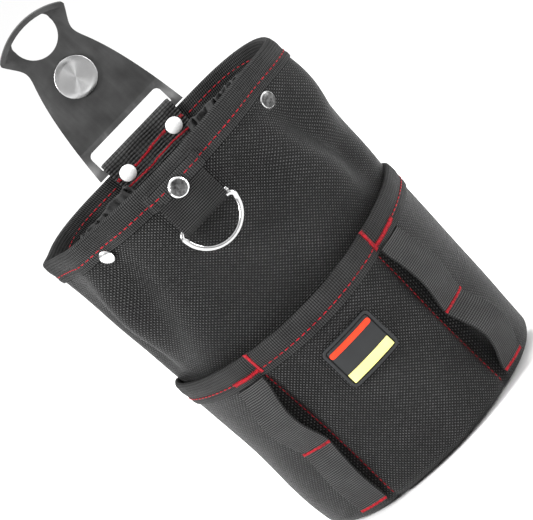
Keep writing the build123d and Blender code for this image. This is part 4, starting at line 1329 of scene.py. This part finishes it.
# ---------------------------------------------------------------- ring tab and D-ring
@dataclass
class RingTab:
    """The folded webbing tab under the rim, its rivet, and the D-ring that hangs in its fold."""

    pouch: Body
    mouth: Mouth
    x: float = -3.0 * MM
    y: float = -57.7 * MM
    width: float = 30.0 * MM
    webbing: float = 1.5 * MM
    hinge: float = 193.0 * MM
    top: float = 206.5 * MM
    bar: float = 180.5 * MM
    eye: float = 1.75 * MM
    wire: float = 1.5 * MM
    ring: float = 16.8 * MM
    corner: float = 2.2 * MM

    def front_at(self, height: float) -> float:
        """Depth of the tab's front face at a height."""
        sewn = self.pouch.wall.place(self.x, height, 2 * self.webbing + 0.15 * MM).y
        hanging = self.y - self.webbing
        return between(hanging, sewn, smooth(height, self.hinge - 1 * MM, self.top))

    def tab(self) -> None:
        """One strip of webbing: up behind, down in front and round the ring's bar."""
        outer = self.eye + self.webbing
        fold_rows = 22
        leg_rows = 44
        rows = 2 * leg_rows + fold_rows

        def leg(height: float, near: float, far: float) -> float:
            """Depth of a leg: beside the ring's bar at its foot, and against the wall above."""
            return between(near, far, smooth(height, self.bar - 1 * MM, self.bar + 6 * MM))

        def place(across: float, up: float) -> Vector:
            """Front leg from its top down, round the bar, and up the rear leg."""
            row = up * rows
            side = (across - 0.5) * self.width
            bow = 0.5 * MM * (2 * side / self.width) ** 2
            if leg_rows <= row < leg_rows + fold_rows:
                turn = pi * (row - leg_rows) / fold_rows
                return Vector((self.x + side, self.y - outer * cos(turn), self.bar - outer * sin(turn)))
            if row < leg_rows:
                height = between(self.top, self.bar, row / leg_rows)
                depth = leg(height, self.y - outer, self.front_at(height))
            else:
                height = between(self.bar, self.top, (row - leg_rows - fold_rows) / leg_rows)
                depth = leg(height, self.y + outer, self.front_at(height) + 2 * self.webbing + 0.05 * MM)
            return Vector((self.x + side, depth + bow, height))

        size = (self.width, 2 * (self.top - self.bar) + pi * outer)
        webbing = Cloth(WEBBING, "webbing", self.webbing, rounding=0.3 * MM, strip=True, inward=True)
        piece = webbing.lay("ring_tab_webbing", (20, rows), place, size, "ring_tab", "ring_tab_anchor",
                            body="")
        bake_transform(piece)

    def ring_wire(self) -> None:
        """A bent wire ring whose ends overlap beside the tab's right edge."""
        knee = self.ring - self.corner
        overlap = 1.5 * MM
        arc_low = [(self.ring * cos(turn), -self.corner - self.ring * sin(turn), 0.0)
                   for turn in (pi * step / 60 for step in range(1, 61))]
        left = [(-self.ring + self.corner * (1 - cos(turn)), -self.corner * (1 - sin(turn)), 0.0)
                for turn in (pi / 2 * step / 5 for step in range(1, 6))]
        bar = [(between(-knee, self.ring - 0.4 * MM, step / 8), 0.0, 0.0) for step in range(1, 9)]
        start = [(self.ring - 3.4 * MM, -1.7 * MM, -overlap), (self.ring - 1.6 * MM, -2.0 * MM, -overlap),
                 (self.ring - 0.4 * MM, -3.2 * MM, -0.8 * overlap), (self.ring, -4.4 * MM, -0.5 * overlap)]
        points = [*start, *arc_low[4:], *left, *bar]
        curve = bpy.data.curves.new("d_ring_line", "CURVE")
        curve.dimensions = "3D"
        curve.bevel_depth = self.wire
        curve.bevel_resolution = 7
        curve.use_fill_caps = True
        spline = curve.splines.new("POLY")
        spline.points.add(len(points) - 1)
        for point, (across, up, out) in zip(spline.points, points):
            point.co = (self.x + across, self.y + out, self.bar + up, 1)
        bent = bpy.data.objects.new("d_ring_line", curve)
        data = bpy.data.meshes.new_from_object(bent)
        mesh = bmesh.new()
        mesh.from_mesh(data)
        bpy.data.objects.remove(bent)
        bpy.data.meshes.remove(data)
        bmesh.ops.remove_doubles(mesh, verts=mesh.verts, dist=0.01 * MM)
        bmesh.ops.dissolve_degenerate(mesh, dist=0.001 * MM, edges=mesh.edges)
        bmesh.ops.recalc_face_normals(mesh, faces=mesh.faces)
        ease_edges(mesh, 60, 0.5 * MM)
        piece_from(mesh, "d_ring_wire", CHROME, "d_ring", "ring_metal", "d_ring")

    def rivet(self) -> None:
        """The rivet through the rim tape and the tab, with its washer inside."""
        wall = self.pouch.wall
        height = 199.6 * MM
        front = wall.seat(self.x, height, self.mouth.face(self.x, height - self.mouth.top) + 0.3 * MM)
        back = wall.seat(self.x, height, WASHER_DEPTH) @ Matrix.Rotation(pi, 4, "X")
        set_rivets(("tab_rivet", "tab_rivet_washer"), 5.6 * MM, NICKEL_WORN_WIDE, [front], [back],
                   ("tab_rivet_caps", "tab_rivet_backs"))


# ---------------------------------------------------------------- hanger strap and belt hook
@dataclass
class BeltHook:
    """The hanger strap, its rivets and seams, and the steel plate that tilts in its loop."""

    strap_half: float = 25.0 * MM
    webbing: float = 1.8 * MM
    pivot_y: float = 47.5 * MM
    pivot_z: float = 215.8 * MM
    eye: float = 2.25 * MM
    front_y: float = 43.6 * MM
    rear_y: float = 51.4 * MM
    front_end: float = 199.0 * MM
    rear_end: float = 150.0 * MM
    rib: float = 1.75 * MM
    rivet_x: float = 17.3 * MM
    rivet_z: float = 208.0 * MM
    lip_end: tuple[float, float] = (20.7 * MM, 293.2 * MM)
    lip_round: float = 2.5 * MM

    def strap(self) -> None:
        """Coarsely ribbed webbing, folded round the plate's bar."""
        outer = self.eye + self.webbing
        front_run = self.pivot_z - self.front_end
        rear_run = self.pivot_z - self.rear_end
        turn_run = pi * outer
        length = front_run + turn_run + rear_run

        def place(across: float, up: float) -> Vector:
            """Up the front leg, over the bar and down the rear leg, with wavy ribs."""
            run = up * length
            side = (across - 0.5) * 2 * self.strap_half
            sway = 0.8 * MM * noise.noise(Vector((side, run * 0.5, 0)) / (10 * MM))
            rib = 0.34 * MM * abs(sin(pi * (run + sway) / self.rib))
            edge = 1 - smooth(abs(side), self.strap_half - 1.4 * MM, self.strap_half)
            push = rib * edge
            if run < front_run:
                return Vector((side, self.front_y - push, self.front_end + run))
            if run < front_run + turn_run:
                turn = (run - front_run) / outer
                reach = outer + push
                shift = between(self.front_y - self.pivot_y + outer, self.rear_y - self.pivot_y - outer,
                                     turn / pi)
                depth = self.pivot_y - reach * cos(turn) + shift
                return Vector((side, depth, self.pivot_z + reach * sin(turn)))
            return Vector((side, self.rear_y + push, self.pivot_z - (run - front_run - turn_run)))

        webbing = Cloth(COARSE_WEBBING, "webbing", self.webbing - 0.35 * MM, rounding=0.3 * MM, strip=True)
        webbing.lay("hanger_strap_webbing", (40, 380), place, (2 * self.strap_half, length), "hanger_strap")

    def seams(self, sewing: Sewing) -> None:
        """Two rows of bar tacks across the front leg and a crossed box on the rear leg."""
        out = Vector((0, -1, 0))
        for height, half, skew in ((208.6 * MM, 24.0 * MM, 0.02), (202.0 * MM, 23.0 * MM, -0.012)):

            def path(side: float, height: float = height, skew: float = skew) -> tuple[Vector, Vector]:
                """Across the front leg."""
                wave = 0.5 * MM * sin(side / (6 * MM))
                return Vector((side, self.front_y - 0.1 * MM, height + skew * side + wave)), out

            if height > self.rivet_z:
                gap = 5.4 * MM
                for start, end in ((-half, -self.rivet_x - gap), (-self.rivet_x + gap, self.rivet_x - gap),
                                   (self.rivet_x + gap, half)):
                    sewing.bar(path, start, end, 2.0 * MM)
            else:
                sewing.bar(path, -half, half, 1.4 * MM)
        low, high, half = 154.0 * MM, 196.0 * MM, 21.0 * MM
        corners = [Vector((x, 0, z)) for x, z in ((-half, low), (half, low), (half, high), (-half, high))]
        lines = [(corners[index], corners[(index + 1) % 4]) for index in range(4)]
        lines += [(corners[0], corners[2]), (corners[1], corners[3])]
        for start, end in lines:
            run = (end - start).length

            def behind(distance: float, start: Vector = start, end: Vector = end,
                       run: float = run) -> tuple[Vector, Vector]:
                """Along one line of the crossed box."""
                spot = start.lerp(end, distance / run)
                return Vector((spot.x, self.rear_y + 0.1 * MM, spot.z)), Vector((0, 1, 0))

            sewing.row(behind, 0.0, run)

    def rivets(self) -> None:
        """Two bright caps on the front leg, and their washers behind."""
        fronts, backs = ([Matrix.Translation((side * self.rivet_x, y, self.rivet_z))
                          @ Matrix.Rotation(radians(turn), 4, "X") for side in (-1, 1)]
                         for y, turn in ((self.front_y - 0.3 * MM, 84), (self.rear_y + 0.5 * MM, -90)))
        set_rivets(("strap_rivets", "strap_rivet_washers"), 4.6 * MM, SATIN_NICKEL, fronts, backs,
                   ("strap_rivet_caps", "strap_rivet_backs"))

    def plate(self) -> None:
        """The pressed steel plate with the lip's ends rounded in four cuts and its edges eased."""
        mesh = bmesh.new()
        mesh.from_mesh(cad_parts["hook_plate"].data)
        bmesh.ops.remove_doubles(mesh, verts=mesh.verts, dist=0.002 * MM)
        bmesh.ops.recalc_face_normals(mesh, faces=mesh.faces)
        bmesh.ops.dissolve_limit(mesh, angle_limit=radians(1.0), verts=mesh.verts, edges=mesh.edges)
        for hand in (-1, 1):
            for lean in (46, 35, 24, 13):
                normal = Vector((hand * cos(radians(lean)), 0, sin(radians(lean))))
                spot = Vector((hand * self.lip_end[0], 0, self.lip_end[1])) + self.lip_round * normal
                bmesh.ops.bisect_plane(mesh, geom=[*mesh.verts, *mesh.edges, *mesh.faces], plane_co=spot,
                                       plane_no=normal, dist=0.001 * MM, clear_outer=True)
                bmesh.ops.holes_fill(mesh, edges=[edge for edge in mesh.edges if edge.is_boundary], sides=0)
        bmesh.ops.recalc_face_normals(mesh, faces=mesh.faces)
        ease_edges(mesh, 50, 0.4 * MM, clamp=True)
        piece_from(mesh, "hook_plate_steel", HOOK_STEEL, "belt_hook", "hook_steel", "hook_plate")

    def disc(self) -> None:
        """The stud's round brushed face, slightly crowned."""
        low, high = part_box("stud_disc")
        middle = (low + high) / 2
        radius = (high.x - low.x) / 2
        thick = high.y - low.y
        seat = Matrix.Translation((middle.x, high.y, middle.z)) @ Matrix.Rotation(pi / 2, 4, "X")
        profile = [(0.0, 0.0), (radius, 0.0), (radius, thick - 0.5 * MM),
                   (radius - 0.15 * MM, thick - 0.2 * MM), (radius - 0.45 * MM, thick - 0.05 * MM),
                   (radius * 0.7, thick), (radius * 0.35, thick + 0.02 * MM), (0.0, thick + 0.03 * MM)]
        piece_from(turned(profile, [seat], 96), "stud_disc_face", DISC_METAL, "belt_hook", "disc_metal",
                   "stud_disc")


# ---------------------------------------------------------------- kept CAD nodes
def dress_frame() -> None:
    """Give the CAD nodes that stay their finishes."""
    finishes = {"base_board": BOARD, "back_board": BOARD, "hook_stud": STUD_METAL}
    for name, material in finishes.items():
        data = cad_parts[name].data
        data.materials.clear()
        data.materials.append(material)


# ---------------------------------------------------------------- studio
@dataclass
class Studio:
    """Pale backdrop, soft lights and the camera."""

    target: Vector = Vector((0.3 * MM, 0.0, 130.7 * MM))
    distance: float = 1.6
    azimuth: float = radians(0.60)
    elevation: float = radians(10.29)
    roll: float = radians(46.24)
    lens: float = 210.4

    def camera(self) -> None:
        """A long lens, tilted so that the pouch leans to the upper left."""
        away = Vector((sin(self.azimuth) * cos(self.elevation), -cos(self.azimuth) * cos(self.elevation),
                       sin(self.elevation)))
        right = (-away).cross(Vector((0, 0, 1))).normalized()
        up = right.cross(-away)
        turned_right = cos(self.roll) * right - sin(self.roll) * up
        turned_up = sin(self.roll) * right + cos(self.roll) * up
        data = bpy.data.cameras.new("camera")
        data.lens = self.lens
        data.sensor_width = 36.0
        data.sensor_fit = "HORIZONTAL"
        data.clip_start = 0.01
        data.clip_end = 50.0
        camera = placed("camera", data)
        camera.matrix_world = Matrix((turned_right, turned_up, away)).transposed().to_4x4()
        camera.matrix_world.translation = self.target + away * self.distance
        bpy.context.scene.camera = camera

    def light(self, name: str, spot: tuple[float, float, float], size: float, power: float) -> None:
        """One square soft box aimed at the middle of the pouch."""
        data = bpy.data.lights.new(name, "AREA")
        data.shape = "SQUARE"
        data.size = size
        data.energy = power
        lamp = placed(name, data)
        aim = (self.target - Vector(spot)).to_track_quat("-Z", "Y")
        lamp.matrix_world = Matrix.Translation(spot) @ aim.to_matrix().to_4x4()

    def lights(self) -> None:
        """A key from the upper left, a fill from the right and a top light."""
        self.light("key", (-1.3, -0.7, 1.0), 0.6, 42.0)
        self.light("fill", (1.5, -0.5, 0.6), 0.6, 20.0)
        self.light("top", (0.1, 0.2, 1.5), 0.8, 14.0)

    def backdrop(self) -> None:
        """A pale flat floor under a world that is brighter above."""
        world = bpy.data.worlds.new("studio")
        world.use_nodes = True
        background = world.node_tree.nodes["Background"]
        nodes, links = world.node_tree.nodes, world.node_tree.links
        direction = nodes.new("ShaderNodeTexCoord")
        parts = nodes.new("ShaderNodeSeparateXYZ")
        links.new(direction.outputs["Generated"], parts.inputs[0])
        sky = nodes.new("ShaderNodeMapRange")
        for name, value in (("From Min", 0.0), ("From Max", 0.7), ("To Min", 0.3), ("To Max", 1.2)):
            sky.inputs[name].default_value = value
        links.new(parts.outputs[2], sky.inputs[0])
        links.new(sky.outputs[0], background.inputs["Strength"])
        background.inputs["Color"].default_value = (1.0, 1.0, 1.0, 1.0)
        bpy.context.scene.world = world
        bpy.context.scene.view_settings.view_transform = "Standard"
        shader = Shader("backdrop", Base_Color=(0.93, 0.93, 0.93, 1.0), Roughness=0.9, Specular_IOR_Level=0.1)
        mesh = bmesh.new()
        bmesh.ops.create_grid(mesh, x_segments=2, y_segments=2, size=6.0)
        data = bpy.data.meshes.new("floor")
        mesh.to_mesh(data)
        mesh.free()
        data.materials.append(shader.material)
        floor = placed("floor", data)
        floor.location.z = -0.5 * MM


# ---------------------------------------------------------------- everything in order
def stitched(name: str, chance: Random, sewers: tuple[Callable[[Sewing], None], ...], *nodes: str) -> None:
    """Sew one mesh of red stitches, method after method, and finish it as one piece."""
    sewing = Sewing(chance)
    for sew in sewers:
        sew(sewing)
    piece_from(sewing.mesh, name, RED_THREAD, "root", "red_thread", *nodes)


def main() -> None:
    """Build the pouch from the body outwards, then the studio."""
    logging.basicConfig(level=logging.INFO, format="%(name)s %(message)s")
    chance = Random(11)
    pouch = Body()
    pouch.bag()
    pouch.base()
    pouch.linings()
    pouch.back()
    stitched("body_stitches", chance, (pouch.side_seams, pouch.inner_pocket))

    pocket = OuterPocket()
    pocket.panel()
    pocket.binding()
    stitched("pocket_stitches", chance, (pocket.seams,))
    loops = (ToolLoop(pocket, "left", -50.0 * MM, 99.5 * MM, 51.0 * MM, 6.5 * MM, 2.0 * MM, -0.06),
             ToolLoop(pocket, "right", 51.0 * MM, 100.5 * MM, 53.0 * MM, 3.4 * MM, 8.6 * MM, 0.03))
    for loop in loops:
        loop.strip()
    stitched("bar_tack_threads", chance, (pocket.tacks, *(loop.tacks for loop in loops)), "bar_tacks")
    LabelPatch(pocket).make()

    mouth = Mouth(pouch)
    mouth.binding()
    stitched("rim_stitches", chance, (mouth.seam,))
    mouth.gathered_hem()
    mouth.rivets()

    ring_tab = RingTab(pouch, mouth)
    ring_tab.tab()
    ring_tab.ring_wire()
    ring_tab.rivet()

    hook = BeltHook()
    hook.strap()
    stitched("strap_stitches", chance, (hook.seams,))
    hook.rivets()
    hook.plate()
    hook.disc()
    dress_frame()

    studio = Studio()
    studio.camera()
    studio.lights()
    studio.backdrop()


if __name__ == "__main__":
    main()
